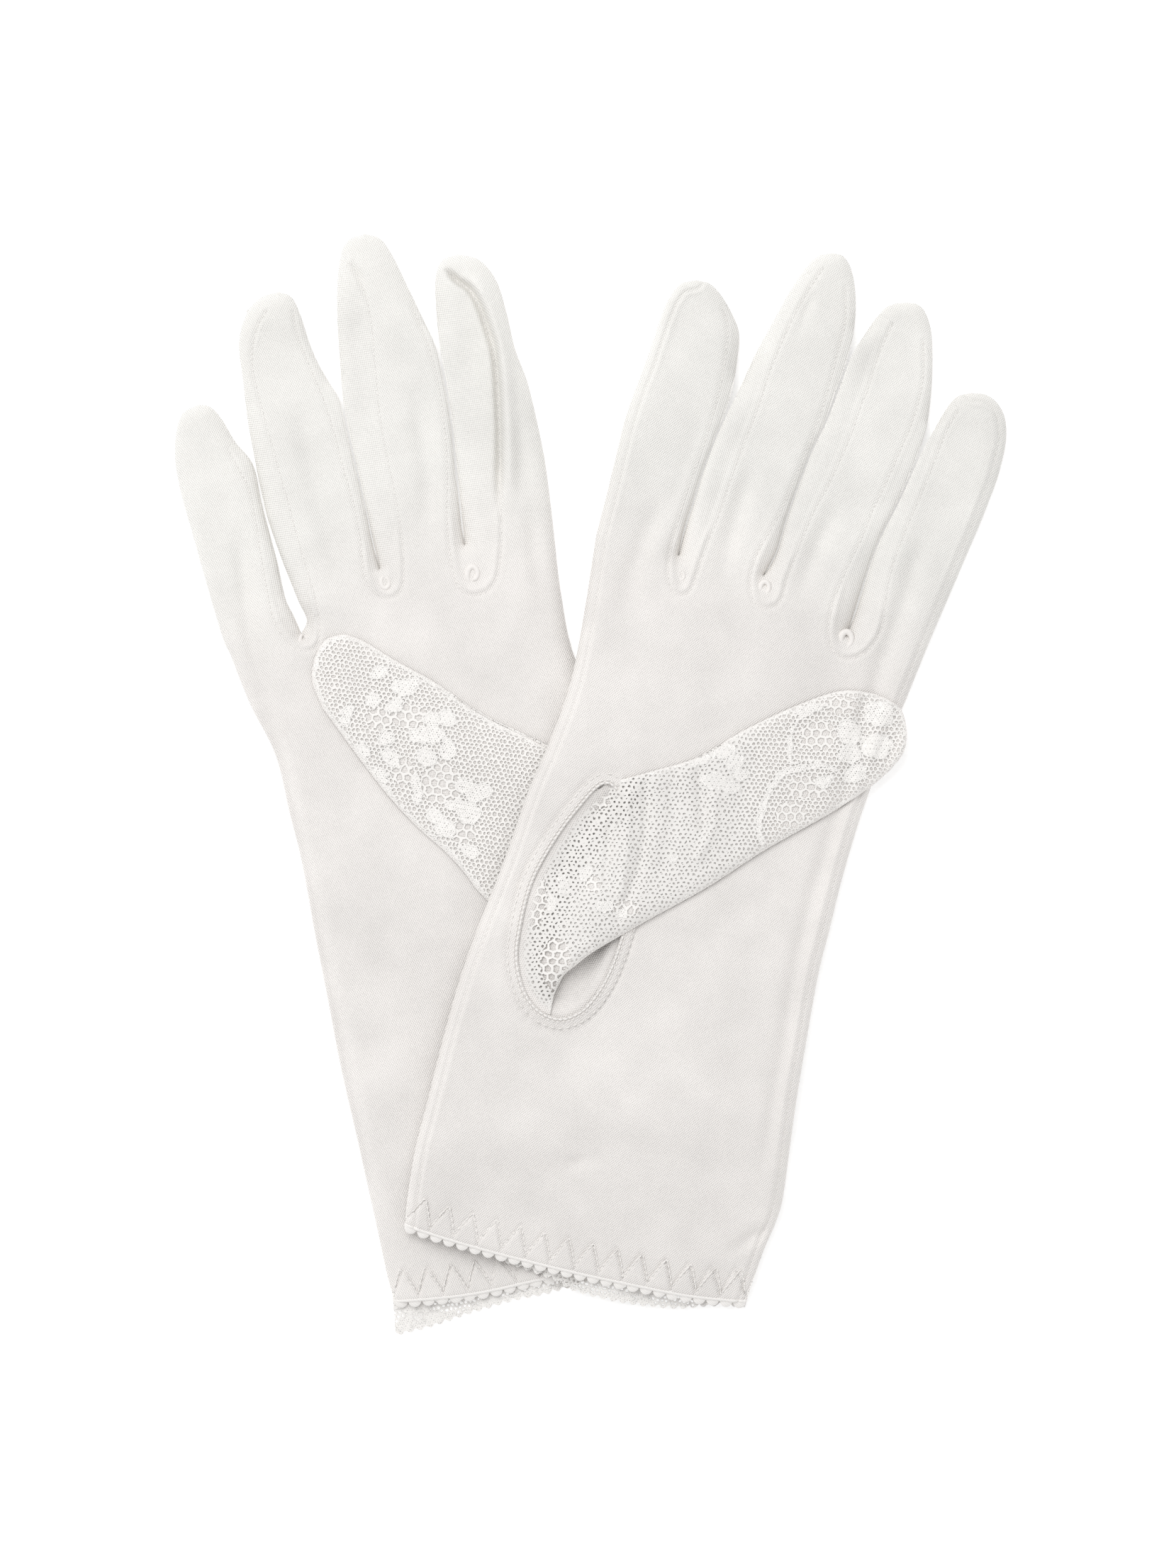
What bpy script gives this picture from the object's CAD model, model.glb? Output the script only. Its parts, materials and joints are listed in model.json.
"""A pair of short lace wedding gloves, lying palm up and crossed at the cuffs.

Every size is in millimetres until a mesh is written, and then in metres. Places are in the frame of the
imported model: X to the right, Y towards the fingertips, Z up from the table.
"""
import json
import math

import bpy
import numpy as np
from bpy.props import FloatProperty, FloatVectorProperty, PointerProperty
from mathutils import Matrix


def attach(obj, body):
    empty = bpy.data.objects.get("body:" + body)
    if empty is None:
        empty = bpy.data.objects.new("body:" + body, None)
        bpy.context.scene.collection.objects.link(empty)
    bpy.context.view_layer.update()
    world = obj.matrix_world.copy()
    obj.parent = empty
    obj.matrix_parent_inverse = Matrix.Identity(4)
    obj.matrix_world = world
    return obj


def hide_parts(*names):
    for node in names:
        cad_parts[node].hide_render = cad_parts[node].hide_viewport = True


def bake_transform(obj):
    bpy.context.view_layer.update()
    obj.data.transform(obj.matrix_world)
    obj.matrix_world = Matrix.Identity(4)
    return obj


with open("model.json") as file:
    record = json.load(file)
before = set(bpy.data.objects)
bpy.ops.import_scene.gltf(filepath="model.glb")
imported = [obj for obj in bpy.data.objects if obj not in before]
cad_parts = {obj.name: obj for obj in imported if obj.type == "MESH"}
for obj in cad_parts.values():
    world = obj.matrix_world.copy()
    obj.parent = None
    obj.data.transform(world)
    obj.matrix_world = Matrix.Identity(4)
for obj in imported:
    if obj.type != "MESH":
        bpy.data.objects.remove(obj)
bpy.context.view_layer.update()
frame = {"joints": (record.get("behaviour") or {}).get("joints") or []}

bl_info = {
    "name": "Lace gloves",
    "version": (1, 0, 0),
    "blender": (4, 5, 0),
    "location": "View3D > Sidebar > Gloves",
    "description": "Builds a pair of knit and lace gloves, crossed palm up",
    "category": "Object",
}

MM = 0.001
FAR = 1e3      # a distance that counts as out of reach, in millimetres
CHUNK = 3000   # points measured at a time, to keep the arrays small

# ---------------------------------------------------------------- the pattern of each glove
# Fingers run from left to right as the gloves lie. Each has its left and its right side from the slit's foot
# to the tip. A welt is the seam that comes down one finger, round the foot of a slit and up the next finger.
# A roll is (x, y, size, way it winds), and a crease is (line, width, depth), deep below nothing.

PATTERNS = {
    "right": {
        "lean": 12.0,
        "fingers": ("little", "ring", "middle", "index"),
        "left_edge": [(-44.4, -116.3), (-46, -110.8), (-48.5, -99.4), (-52.5, -81.4), (-56.6, -63.5),
                      (-59.4, -48.8), (-62.3, -34.1), (-65.3, -17.7), (-68.1, -6.3), (-71.3, 6.8),
                      (-77, 18.2), (-81.5, 29.5)],
        "right_edge": [(34, -101.7), (31, -74), (27, -52), (22, -34), (16, -16), (10, 0), (3, 15),
                       (-4.1, 29.6), (-7.0, 44), (-8.4, 56)],
        "hem": [(-44.4, -116.3), (-27, -114.6), (-11, -111.2), (10, -106.6), (34, -101.7)],
        "lace_hem": [(-44.2, -123.6), (-36, -121.6), (-27, -118.6), (-17, -115.6), (-10, -114.2),
                     (10, -108.6), (34, -103.3)],
        "feet": [(-65.4, 34.2), (-47.8, 48.9), (-28.6, 54.3)],
        "sides": {
            "little": ([(-83.6, 34.5), (-89.3, 54.1), (-93.3, 69), (-93.9, 77.5), (-92.4, 83.4),
                        (-88.8, 85.9)],
                       [(-67.2, 38.3), (-68.8, 41.5), (-69.8, 45.4), (-70.9, 50.5), (-73.3, 59.4),
                        (-74.6, 64.6), (-76.4, 72.4), (-80.3, 77.4), (-83.4, 82.6), (-86, 85.3),
                        (-88.8, 85.9)]),
            "ring": ([(-64.2, 37.2), (-66, 41.2), (-68.2, 46.6), (-70.2, 51.8), (-72.8, 59.4), (-74.1, 64.6),
                      (-75.8, 72.9), (-77.5, 81.9), (-78.7, 91.6), (-79.5, 99.8), (-77.8, 106.3),
                      (-74.6, 109.9), (-70.5, 111.2)],
                     [(-49.5, 55), (-50.8, 61.4), (-52.8, 69.7), (-54.9, 78.6), (-56.6, 86.4), (-58.9, 90.4),
                      (-61.5, 94.9), (-63.6, 99.8), (-65.6, 106), (-67.6, 110), (-70.5, 111.2)]),
            "middle": ([(-49.2, 55), (-50.5, 61.4), (-52.4, 69.7), (-54.4, 78.6), (-56.1, 88),
                        (-57.4, 106.3), (-56.9, 117.6), (-55, 122.6), (-51.2, 124.3)],
                       [(-29.3, 58.2), (-30, 64.6), (-30.8, 71.6), (-31.7, 81.2), (-33.1, 90.2),
                        (-35.1, 98.6), (-37.8, 104.7), (-41.7, 112.9), (-45, 119.6), (-47.7, 123.2),
                        (-51.2, 124.3)]),
            "index": ([(-29, 58.2), (-29.6, 64.6), (-30.3, 71.6), (-31.3, 81.2), (-32.6, 90.2),
                       (-34.1, 98.2), (-35, 106.3), (-35.2, 114.4), (-33.5, 118.4), (-30, 119.7)],
                      [(-9.5, 65.6), (-10.9, 75.3), (-14.2, 90), (-17.2, 98.2), (-19.1, 106.3),
                       (-21.4, 113.6), (-25.2, 118.3), (-30, 119.7)]),
        },
        "welts": [
            [(-81.7, 75.4), (-79.4, 71), (-76.9, 66), (-75, 55.6), (-73.4, 46), (-71.8, 38.3), (-69.2, 33.2),
             (-66, 30.5), (-63, 30.4), (-61.4, 32), (-61.1, 35.1), (-61.8, 40.9), (-64.7, 50.5),
             (-68.6, 64.6), (-71.8, 76.1), (-74.6, 86.3), (-76.4, 94.6), (-75.6, 102), (-73, 107)],
            [(-67.3, 106.5), (-66, 100.5), (-62.8, 92.7), (-60.2, 86.3), (-58.1, 79.9), (-55.8, 71),
             (-53.2, 62), (-51.9, 54.3), (-51.2, 47.9), (-49.7, 44.1), (-46.8, 42), (-44.2, 42.4),
             (-42.4, 44.7), (-42.2, 49.2), (-42.6, 55.6), (-44.2, 65.2), (-46.2, 74.8), (-47.8, 84.4),
             (-49, 97.2), (-49.7, 104.9), (-51, 110.6), (-52.6, 114.5), (-54.5, 117.7)],
            [(-40.5, 108), (-38.6, 103.4), (-36.6, 98.5), (-34.5, 90.2), (-33.2, 81.2), (-32.5, 71),
             (-32.6, 62), (-32.2, 55.6), (-31.4, 49.2), (-29.8, 44.3), (-27, 42.7), (-23.8, 43.4),
             (-21.5, 46), (-20.6, 50.5), (-20.2, 56.9), (-20.6, 68.4), (-20.9, 81.2), (-21.8, 94),
             (-23.4, 100.4), (-25, 106.8), (-27.3, 111.4), (-30.2, 113.6), (-32.9, 116.2)],
        ],
        "rolls": [(-64.6, 32.6, 1.5, 1), (-46.3, 45.6, 1.7, 1), (-26.6, 47.4, 2.2, -1)],
        "edge_seams": (),
        "rim": (0, -28, 12, 26, 7),
        "creases": [
            ([(-33.4, 116.8), (-30.2, 113.6), (-27.2, 111.4), (-25, 107.4), (-23.2, 102.3), (-22, 98.5),
              (-21.3, 92.7), (-20.9, 85), (-20.7, 77.4), (-20.8, 68), (-20.8, 58)], 0.8, -1.05),
            ([(-29.5, 116), (-26, 113), (-22.6, 107), (-20.6, 101), (-19.5, 95), (-18.8, 86), (-18.4, 76),
              (-18.2, 60)], 1.6, 0.9),
            ([(-32.5, 109.5), (-30.5, 108), (-27.5, 106.6)], 1.5, -0.8),
            ([(-54.8, 118), (-51.5, 113), (-50.2, 107)], 1.0, -0.7),
            ([(-49, 119), (-48, 113), (-46.5, 108)], 3.0, -0.5),
            ([(-45, 41), (-40, 38.5), (-36, 38.5)], 3.6, -0.9),
            ([(-60, 31), (-55, 36), (-50, 38)], 3.0, -0.6),
            ([(-27, 40.5), (-25, 35), (-25.5, 28)], 3.0, -0.6),
            ([(-74, 30), (-72, 22), (-69, 14)], 2.4, -0.6),
            ([(-80, 60), (-78, 44), (-76, 30), (-70, 5), (-62, -30), (-55, -64), (-49, -96)], 2.0, -0.45),
            ([(-40, 92), (-37, 70), (-36, 50)], 2.4, -0.4),
            ([(-66, 88), (-62, 66), (-57, 50), (-54, 40)], 2.6, -0.4),
            ([(-14, 66), (-12, 48), (-9, 32)], 2.2, -0.35),
            ([(-54, -34), (-45, -42), (-38, -52)], 3.5, -0.5),
            ([(-50, -60), (-40, -66), (-33, -76)], 4.0, 0.45),
        ],
    },
    "left": {
        "lean": -16.0,
        "fingers": ("index", "middle", "ring", "little"),
        "left_edge": [(-41.9, -98.6), (-41.1, -91.2), (-39.5, -81.4), (-37, -71.6), (-33.8, -58.6),
                      (-29.7, -43.9), (-25.1, -30.8), (-19.9, -17.7), (-14.2, -1.4), (-9.3, 10),
                      (-5.2, 21.4), (-3, 31.2), (-0.8, 44.3), (1, 56.2)],
        "right_edge": [(34.8, -116.2), (36.4, -111.4), (38.8, -104.5), (41.4, -98.5), (43, -93),
                       (44.6, -81.4), (46.2, -70), (48.7, -55.3), (51.1, -42.2), (53.6, -32.4), (56, -22.6),
                       (59.3, -11.2), (62.6, -1.4), (67.6, 12), (70.4, 18.2), (72.4, 23.1), (74.5, 28.2)],
        "hem": [(-41.9, -98.6), (-32.9, -101.6), (-19.9, -105.4), (-3.8, -109.4), (10.9, -112.6),
                (22, -114.8), (34.8, -116.2)],
        "lace_hem": [(-41.7, -99.4), (-32.9, -102.6), (-19.9, -106.6), (-8, -111.0), (-3.8, -113.4),
                     (8, -116.2), (19, -117.4), (27, -116.8), (34.7, -116.9)],
        "feet": [(19.6, 51.8), (38.8, 47.4), (57.8, 34.8)],
        "sides": {
            "index": ([(3, 63.9), (5.4, 73.7), (7.9, 83.5), (12, 94.9), (15.2, 104.4), (17.4, 109.6),
                       (19.9, 112.7), (23.4, 113.7)],
                      [(20.6, 56.9), (22.8, 63.9), (25, 71), (27.6, 78), (30, 83.6), (31.8, 89.6),
                       (32.8, 95.6), (33.2, 101.8), (31.4, 106.6), (28.8, 110.8), (26.4, 113),
                       (23.4, 113.7)]),
            "middle": ([(20.9, 56.9), (23.2, 63.9), (25.4, 71), (28, 78), (30.8, 84), (33.2, 89),
                        (36.6, 96.5), (40.5, 103.9), (44.6, 111.2), (48.2, 116.6), (51, 119.2),
                        (54.4, 119.9)],
                       [(40.1, 49.6), (41.7, 53), (43, 57.5), (44.8, 63.3), (46.9, 69), (49.4, 75.4),
                        (52.5, 81.8), (55.1, 88.9), (57.6, 96), (59.2, 103.2), (59.5, 110.2), (58.6, 116),
                        (56.8, 119.1), (54.4, 119.9)]),
            "ring": ([(40.4, 49.6), (42, 53), (43.3, 57.5), (45.2, 63.3), (47.3, 69), (49.8, 75.4),
                      (52.9, 81.8), (55.6, 88.9), (58.4, 96.2), (61.4, 101.4), (64.8, 106.1), (67.4, 108.2),
                      (70.7, 108.8)],
                     [(59, 38.3), (60.5, 43.4), (61.9, 47.9), (63.5, 52.4), (65.3, 56.9), (67.3, 60.7),
                      (69.8, 65.8), (71.8, 70.3), (73.6, 75), (75.3, 80), (76.3, 86), (76.8, 93.3),
                      (76.6, 101.6), (75.3, 106.3), (73.4, 108.3), (70.7, 108.8)]),
            "little": ([(59.3, 38.3), (60.9, 43.4), (62.2, 47.9), (63.8, 52.4), (65.7, 56.9), (67.7, 60.7),
                        (70.2, 65.8), (72.2, 70.3), (74.2, 74.6), (77, 79.8), (80.2, 85.2), (82.5, 87.6),
                        (85.4, 88.4)],
                       [(76.4, 32.9), (81.3, 44.3), (86.2, 55.7), (88.9, 62.3), (91.6, 69.6), (93.3, 77),
                        (93.2, 82.4), (91.5, 86), (88.8, 88), (85.4, 88.4)]),
        },
        "welts": [
            [(29.4, 107.6), (30.6, 102.6), (30, 95.3), (28.3, 87), (25.8, 78), (23.3, 71), (21, 64.6),
             (19.1, 58.2), (17.6, 53), (17.1, 47.9), (17.8, 44.1), (19.8, 42.6), (22, 43.4), (23.3, 46.6),
             (24.6, 50.5), (26.5, 55.6), (29, 62), (31.6, 69.7), (34.2, 76.7), (37.4, 85), (40.2, 93.4),
             (43.4, 101), (46.3, 107), (49.6, 112.6), (52.4, 116.6)],
            [(57, 112), (57, 104), (54.9, 95.6), (52.6, 87), (50, 79.3), (47.2, 72.2), (44.7, 66.5),
             (42.5, 61.4), (39.9, 56.9), (37.4, 52.4), (35.9, 47.9), (35.6, 44.1), (36.4, 41.2),
             (38.6, 39.7), (41.2, 40.2), (42.8, 42.2), (43.8, 46), (45.4, 50.5), (47.6, 56.2), (50.2, 62),
             (53.4, 67.8), (56.6, 74.8), (58.5, 79.3), (60.4, 85), (62.3, 89.5), (63.6, 94), (65.5, 99),
             (67.8, 104)],
            [(74.6, 100), (74.6, 92), (72.8, 83.6), (69, 74.4), (65.7, 66.9), (63, 61.4), (61, 56.2),
             (58.5, 51.1), (55.9, 45.4), (54, 40.2), (53.2, 35.1), (53.7, 31.3), (55.6, 28.9), (58.5, 28.5),
             (61.7, 30), (64.2, 33.2), (65.4, 36.4), (65.8, 40.2), (66.7, 46), (68.4, 51.8), (70.6, 57.5),
             (73.2, 63.3), (75.6, 69), (77.6, 74.2), (80, 80), (82.6, 84.4)],
        ],
        "rolls": [(20.2, 47.0, 1.25, 1), (39.0, 44.2, 1.9, -1), (57.4, 32.6, 2.4, -1)],
        "edge_seams": ((2.2, "left"), (1.9, "right")),
        "rim": [(3, 0.2), (-3.6, -6.3), (-9.3, -14.5), (-13.4, -22.6), (-15.8, -32.4), (-16.4, -39),
                (-15, -45.5), (-12.3, -49.6), (-9, -51.6), (-5.6, -51.8), (-1.4, -49.4), (2.6, -43.9),
                (5.6, -36.8), (8.2, -27), (9, -16), (7.4, -5)],
        "creases": [
            ([(50.4, 112), (48, 106), (46, 99)], 1.3, -0.7),
            ([(55, 113), (53.5, 106), (54, 100)], 3.0, -0.5),
            ([(68.4, 102), (64.5, 97), (63.5, 92)], 2.6, -0.8),
            ([(20, 40), (15, 36), (10, 36)], 3.4, -0.7),
            ([(38, 37.4), (32, 36), (28, 39)], 3.6, -0.9),
            ([(46, 40), (48, 34), (52, 30)], 3.4, -0.9),
            ([(56, 26.2), (54, 20), (50, 16)], 3.4, -0.9),
            ([(18, 68), (13, 58), (9, 46), (8, 34)], 2.6, -0.45),
            ([(37, 74), (33, 62), (30, 50), (30, 42)], 2.2, -0.45),
            ([(56, 66), (52, 56), (48, 46), (47, 38)], 2.2, -0.45),
            ([(76, 60), (72, 48), (69, 38), (65, 26), (59, 6), (53, -14), (47, -36), (43, -60), (38, -90)],
             2.2, -0.4),
            ([(-9, -56), (-13, -60), (-20, -62)], 2.6, -0.9),
            ([(-3, -56), (2, -60), (10, -62)], 3.0, -0.7),
            ([(-8, -63), (0, -67), (9, -68)], 3.2, 0.5),
            ([(-12, -72), (-2, -78), (6, -88)], 4.5, -0.45),
            ([(36, -44), (46, -49), (50, -54)], 3.6, -0.6),
            ([(42, -98), (34, -103), (28, -107)], 1.6, -0.7),
            ([(-10, -80), (-2, -84)], 0.9, 0.5),
            ([(-8, -86), (0, -84), (8, -85)], 1.2, -0.4),
            ([(18, -40), (30, -30), (44, -22)], 4.5, -0.5),
            ([(10, 14), (22, 22), (38, 26)], 5.0, -0.35),
        ],
    },
}

# Thumbs lie folded over the palm. Each lace half is bounded by its root on the hole's rim, two long sides and
# a tip. A petal is (x, y, half length, half width, turn), a cord is (line, half width), and coarse and dense
# ovals are (x, y, half width, half height). A thumb starts and ends its bend that far past its joint.
THUMBS = {
    "right": {
        "root": [(-2, -1), (6, -6), (11.5, -20), (12, -32), (9, -45), (3.2, -53.4)],
        "top": [(-2, -1), (-6, 5), (-11.6, 9.3), (-21.9, 14.4), (-28.1, 18), (-35.2, 23.1), (-44.1, 28),
                (-51, 32.2), (-55.4, 33.9)],
        "bottom": [(3.2, -53.4), (-5, -45), (-13, -36), (-24.5, -24.9), (-28.5, -19.8), (-32.5, -15.4),
                   (-39.7, -8.9), (-45, -3.2), (-50.3, 3.5), (-55.2, 10.2), (-60.3, 17.3)],
        "tip": [(-55.4, 33.9), (-59.6, 32.6), (-62, 28.6), (-62.6, 23.4), (-60.3, 17.3)],
        "petals": [(-47.2, 25.3, 2.4, 1.6, 20), (-42.3, 21.7, 2.8, 2.0, -20), (-44.1, 17.7, 2.4, 1.7, 30),
                   (-49, 19, 1.9, 1.8, 0), (-39.7, 23.1, 1.9, 1.5, 0), (-54.8, 15.5, 1.5, 2.7, -25),
                   (-46.3, 10.6, 2.1, 1.7, 0), (-51.2, 8, 2.3, 1.5, -40), (-45, 6.2, 2.8, 1.9, -40),
                   (-47.6, 2.6, 2.6, 1.7, -40), (-35.7, 14.6, 2.3, 1.9, 0), (-32.5, 15.1, 2.2, 2.2, 0),
                   (-38.8, 11.1, 2.3, 2, 0), (-35.2, 11.5, 2.6, 2.2, 0), (-32.1, 8, 2, 2.7, 10),
                   (-37, 6.2, 2.6, 2.2, 0), (-39.2, -0.9, 1.3, 3.6, 5), (-28.5, 0, 2.3, 1.9, 0),
                   (-25.4, -1.8, 3.1, 2.2, 20), (-27.7, -6.3, 2.6, 3.1, 0), (-30.8, -4.5, 2.6, 1.3, 10),
                   (-35.2, -7.2, 2.4, 1.9, -30), (-33, -9.8, 2.7, 2.2, -40), (-27.2, -14.7, 2.8, 1.5, -10),
                   (-12, -8, 3, 2, 30), (-8, -16, 2.4, 3, 0), (-15, -22, 3, 2.2, -40), (-2, -22, 2.6, 2, 0)],
        "cords": [],
        "coarse": [(-33.9, 0.5, 4.4, 4.8), (-41, 15.5, 4, 2.6), (-47.5, 15, 3, 2.4), (-42.5, 3, 2.5, 3),
                   (-29, -10.6, 3, 2.4)],
        "dense": [],
        "puckers": [],
        "hem": 1.1,
        "close_to": -60,
        "bend": (0.5, 10.0),
        "side": -1,
    },
    "left": {
        "root": [(3, 0.2), (-3.6, -6.3), (-9.3, -14.5), (-13.4, -22.6), (-15.8, -32.4), (-16.4, -39),
                 (-15, -45.5), (-12.3, -49.6), (-9.3, -51.6)],
        "top": [(3, 0.2), (8, 1.6), (12.8, 2.9), (24.2, 6.4), (34, 12.2), (45.4, 17.6), (55.2, 21),
                (61.7, 20.9), (66.4, 19.3)],
        "bottom": [(-9.3, -51.6), (-8.5, -47.4), (-7.4, -44.7), (-6.1, -42.4), (-3.7, -40.4), (0, -37.5),
                   (6.2, -33.8), (12.9, -30), (25.8, -22.9), (38.9, -14.5), (53.6, -6.3), (62.6, -0.4),
                   (67, 3.4)],
        "tip": [(66.4, 19.3), (69.4, 17), (70.7, 12.6), (70, 7.4), (67, 3.4)],
        "petals": [(24.3, 5.8, 2.6, 1.7, 20), (29.6, 7.6, 2.8, 2.0, 15), (32, 5.1, 2.4, 2.1, 0),
                   (27.7, 0.8, 3.2, 2.1, 0), (30.8, -0.4, 2.4, 1.8, -30), (33.4, 2.4, 1.9, 1.6, 0),
                   (57.9, 11.9, 2.9, 3.3, 0), (57.9, 7, 2.7, 2.3, 0), (59.1, 2.7, 3, 2.1, 20),
                   (51.7, 0.8, 2.4, 1.5, 20), (48.7, 17.2, 3.4, 1.1, 8), (-1.2, -19.5, 2.0, 1.5, 40),
                   (3.1, -26.9, 2.6, 1.5, 20), (-6, -22.6, 1.5, 2.3, 20), (7, -28.6, 1.8, 1.0, 20),
                   (-9, -26, 1.1, 1.9, 10), (18, -16.5, 1.6, 1.0, 30)],
        "cords": [([(52.6, 18), (46.8, 15), (44.4, 9.6), (44.4, 5)], 0.6),
                  ([(51, 4.6), (43.2, 2.8), (39.4, -2.2), (37.6, -8.4), (38.2, -12.6)], 0.85),
                  ([(44.6, 5), (50.4, 5), (54.6, 3.4)], 0.4)],
        "coarse": [(48.5, -0.6, 4.6, 2.6), (44.6, -6.4, 3.4, 3), (51, 11.2, 4, 3.4), (56, 18, 3.4, 2),
                   (0.4, -22, 1.8, 1.8), (7.6, -27.6, 3.2, 1.8), (-8, -40, 3.4, 6), (-12.8, -24, 2.6, 8),
                   (1.6, -2.6, 2.6, 3)],
        "dense": [(64.6, 16.2, 3.6, 3), (64, 8.8, 3.8, 3)],
        "puckers": [([(6, -3), (4, -12), (3, -22)], 1.0, -0.6),
                    ([(12, 0), (12, -10), (10, -20), (6, -30)], 1.2, -0.6),
                    ([(8, -2), (8, -12), (6.5, -24)], 1.1, 0.5),
                    ([(24, 3), (24.5, -4), (25, -10)], 1.3, -0.7),
                    ([(27.5, -3), (27, -9), (24, -16)], 1.2, 0.6),
                    ([(18, 2), (18, -8), (16, -18)], 1.8, -0.5),
                    ([(-6, -18), (-4, -26), (-2, -34)], 1.3, -0.6),
                    ([(36, 4), (33, -5), (31, -14)], 2.4, -0.4),
                    ([(61, 19), (60.5, 14), (61.5, 8), (61, 2)], 1.1, -0.7)],
        "hem": 0.6,
        "close_to": 42,
        "bend": (-1.0, 10.0),
        "side": 1,
    },
}

# ---------------------------------------------------------------- how thick the gloves lie
TOP = 5.3            # the palm's cloth above what the glove lies on
EDGE = 1.5           # where front and back meet along a side
MOUTH = 3.0          # the palm's cloth at the hem
ROUND = 4.4          # how far in from a side the cloth has reached its full height
FINGER_FALL = 1.5    # how much flatter the fingers lie than the palm
THUMB_GAP = 0.55     # between the palm and the folded thumb
THUMB_RISE = 1.35    # the thumb's own thickness
ROOT_DROP = -0.28    # how far the thumb's lace starts below the rim of its hole
LINING_RISE = 0.7    # how near the thumb's lining lies to its lace, from 0 on the palm to 1
LIE_GAP = 0.5        # between the two gloves
DRAPE_SLOPE = 0.105  # how steeply the upper glove comes down past the lower one
CREASE = 2.6         # how deep the creases are, in terms of their own depths
SLIT_RISE = 1.7      # how much higher the sides of two fingers meet where they touch
SLIT_WIDE = 1.3      # a slit wider than this has come apart
WELT_WIDTH = 0.5
WELT_DEPTH = 0.17
STRIP_DEPTH = 0.26   # how far the strips between the fingers lie below the fingers' faces
CURL_RUN = 3.2       # how far in from its edge a lace half curls
MOUTH_RUN = 34       # how far above the hem the palm has reached its full height
FALL_RUN = 60        # how far the fingers take to come down
RIM_WIDE, RIM_RISE = 2.2, 0.4  # the turned cloth round the thumb's hole
WAVES = 18                     # the slack of the cloth, as so many crossing sine waves
WAVE_SIZES = (9, 60)
WAVE_HEIGHT = 0.22
TURNING = 0.6                  # how thick a lining or a turning is, as a share of the outer cloth


# ---------------------------------------------------------------- lines, fields and grids
def smooth(value):
    """3t^2 - 2t^3 of the value kept between 0 and 1."""
    t = np.clip(value, 0, 1)
    return t * t * (3 - 2 * t)


def spline(points, count, closed=False):
    """A smooth line through the points: Catmull-Rom between each pair, then evenly spaced along its
    length."""
    p = np.asarray(points, float)
    if closed:
        p = np.concatenate([p[-1:], p, p[:2]])
    else:
        p = np.concatenate([2 * p[:1] - p[1:2], p, 2 * p[-1:] - p[-2:-1]])
    t = np.linspace(0, 1, 24, endpoint=False)[None, :, None]
    a, b, c, d = (p[i:len(p) - 3 + i][:, None, :] for i in range(4))
    fine = 0.5 * (2 * b + (c - a) * t + (2 * a - 5 * b + 4 * c - d) * t**2 + (3 * b - a - 3 * c + d) * t**3)
    fine = np.concatenate([fine.reshape(-1, p.shape[1]), p[-2:-1]])
    run = np.concatenate([[0], np.cumsum(np.linalg.norm(np.diff(fine, axis=0), axis=1))])
    at = np.linspace(0, run[-1], count)
    return np.stack([np.interp(at, run, fine[:, k]) for k in range(p.shape[1])], 1)


def length_of(line):
    """The sum of the straight steps of a line."""
    return float(np.linalg.norm(np.diff(line, axis=0), axis=1).sum())


def near(points, line, closed=False, reach=None):
    """For each point, the distance to the nearest place on a line of straight steps, and how far along it
    that is. With a reach, points further than that from the line's box are only called far."""
    q = np.asarray(points, np.float32).reshape(-1, 2)
    p = np.asarray(line, np.float32)[:, :2]
    if closed:
        p = np.concatenate([p, p[:1]])
    step = np.diff(p, axis=0)
    size = np.maximum((step**2).sum(1), 1e-9)
    run = np.sqrt(size)
    start = np.concatenate([[0], np.cumsum(run)])[:-1]
    best, along = np.full(len(q), FAR), np.zeros(len(q))
    todo = np.arange(len(q))
    if reach is not None:
        todo = np.flatnonzero(((q > p.min(0) - reach) & (q < p.max(0) + reach)).all(1))
    for i in range(0, len(todo), CHUNK):
        rows = todo[i:i + CHUNK]
        dx, dy = q[rows, :1] - p[:-1, 0], q[rows, 1:] - p[:-1, 1]
        t = np.clip((dx * step[:, 0] + dy * step[:, 1]) / size, 0, 1)
        gap = (dx - t * step[:, 0]) ** 2 + (dy - t * step[:, 1]) ** 2
        k = gap.argmin(1)
        each = np.arange(len(rows))
        best[rows] = np.sqrt(gap[each, k])
        along[rows] = start[k] + t[each, k] * run[k]
    return best, along


def within(points, ring):
    """True where a point lies inside a closed line: the number of its steps crossed on the way right is
    odd."""
    q = np.asarray(points, float).reshape(-1, 2)
    p = np.asarray(ring, float)[:, :2]
    a, b = p, np.roll(p, -1, axis=0)
    rise = np.where(np.abs(b[:, 1] - a[:, 1]) < 1e-9, 1e-9, b[:, 1] - a[:, 1])
    slant = (b[:, 0] - a[:, 0]) / rise
    odd = np.zeros(len(q), bool)
    todo = np.flatnonzero(((q >= p.min(0)) & (q <= p.max(0))).all(1))
    for i in range(0, len(todo), CHUNK):
        rows = todo[i:i + CHUNK]
        x, y = q[rows, :1], q[rows, 1:]
        cross = ((a[:, 1] > y) != (b[:, 1] > y)) & (a[:, 0] + (y - a[:, 1]) * slant > x)
        odd[rows] = cross.sum(1) % 2 == 1
    return odd


def patch(left, right, bottom, top, steps):
    """A Coons patch: the blend of two sides plus the blend of two ends, less the blend of the four corners.
    Rows run from bottom to top at the given shares of the sides' lengths; columns are those of the two
    ends."""
    u, v = steps[:, None, None], np.linspace(0, 1, len(bottom))[None, :, None]
    l, r = (np.stack([np.interp(steps * (len(e) - 1), np.arange(len(e)), e[:, k]) for k in range(2)], 1)[:,
                                                                                                         None]
            for e in (left, right))
    b, t = bottom[None], top[None]
    corners = (1 - u) * ((1 - v) * b[:, :1] + v * b[:, -1:]) + u * ((1 - v) * t[:, :1] + v * t[:, -1:])
    return (1 - v) * l + v * r + (1 - u) * b + u * t - corners


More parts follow.
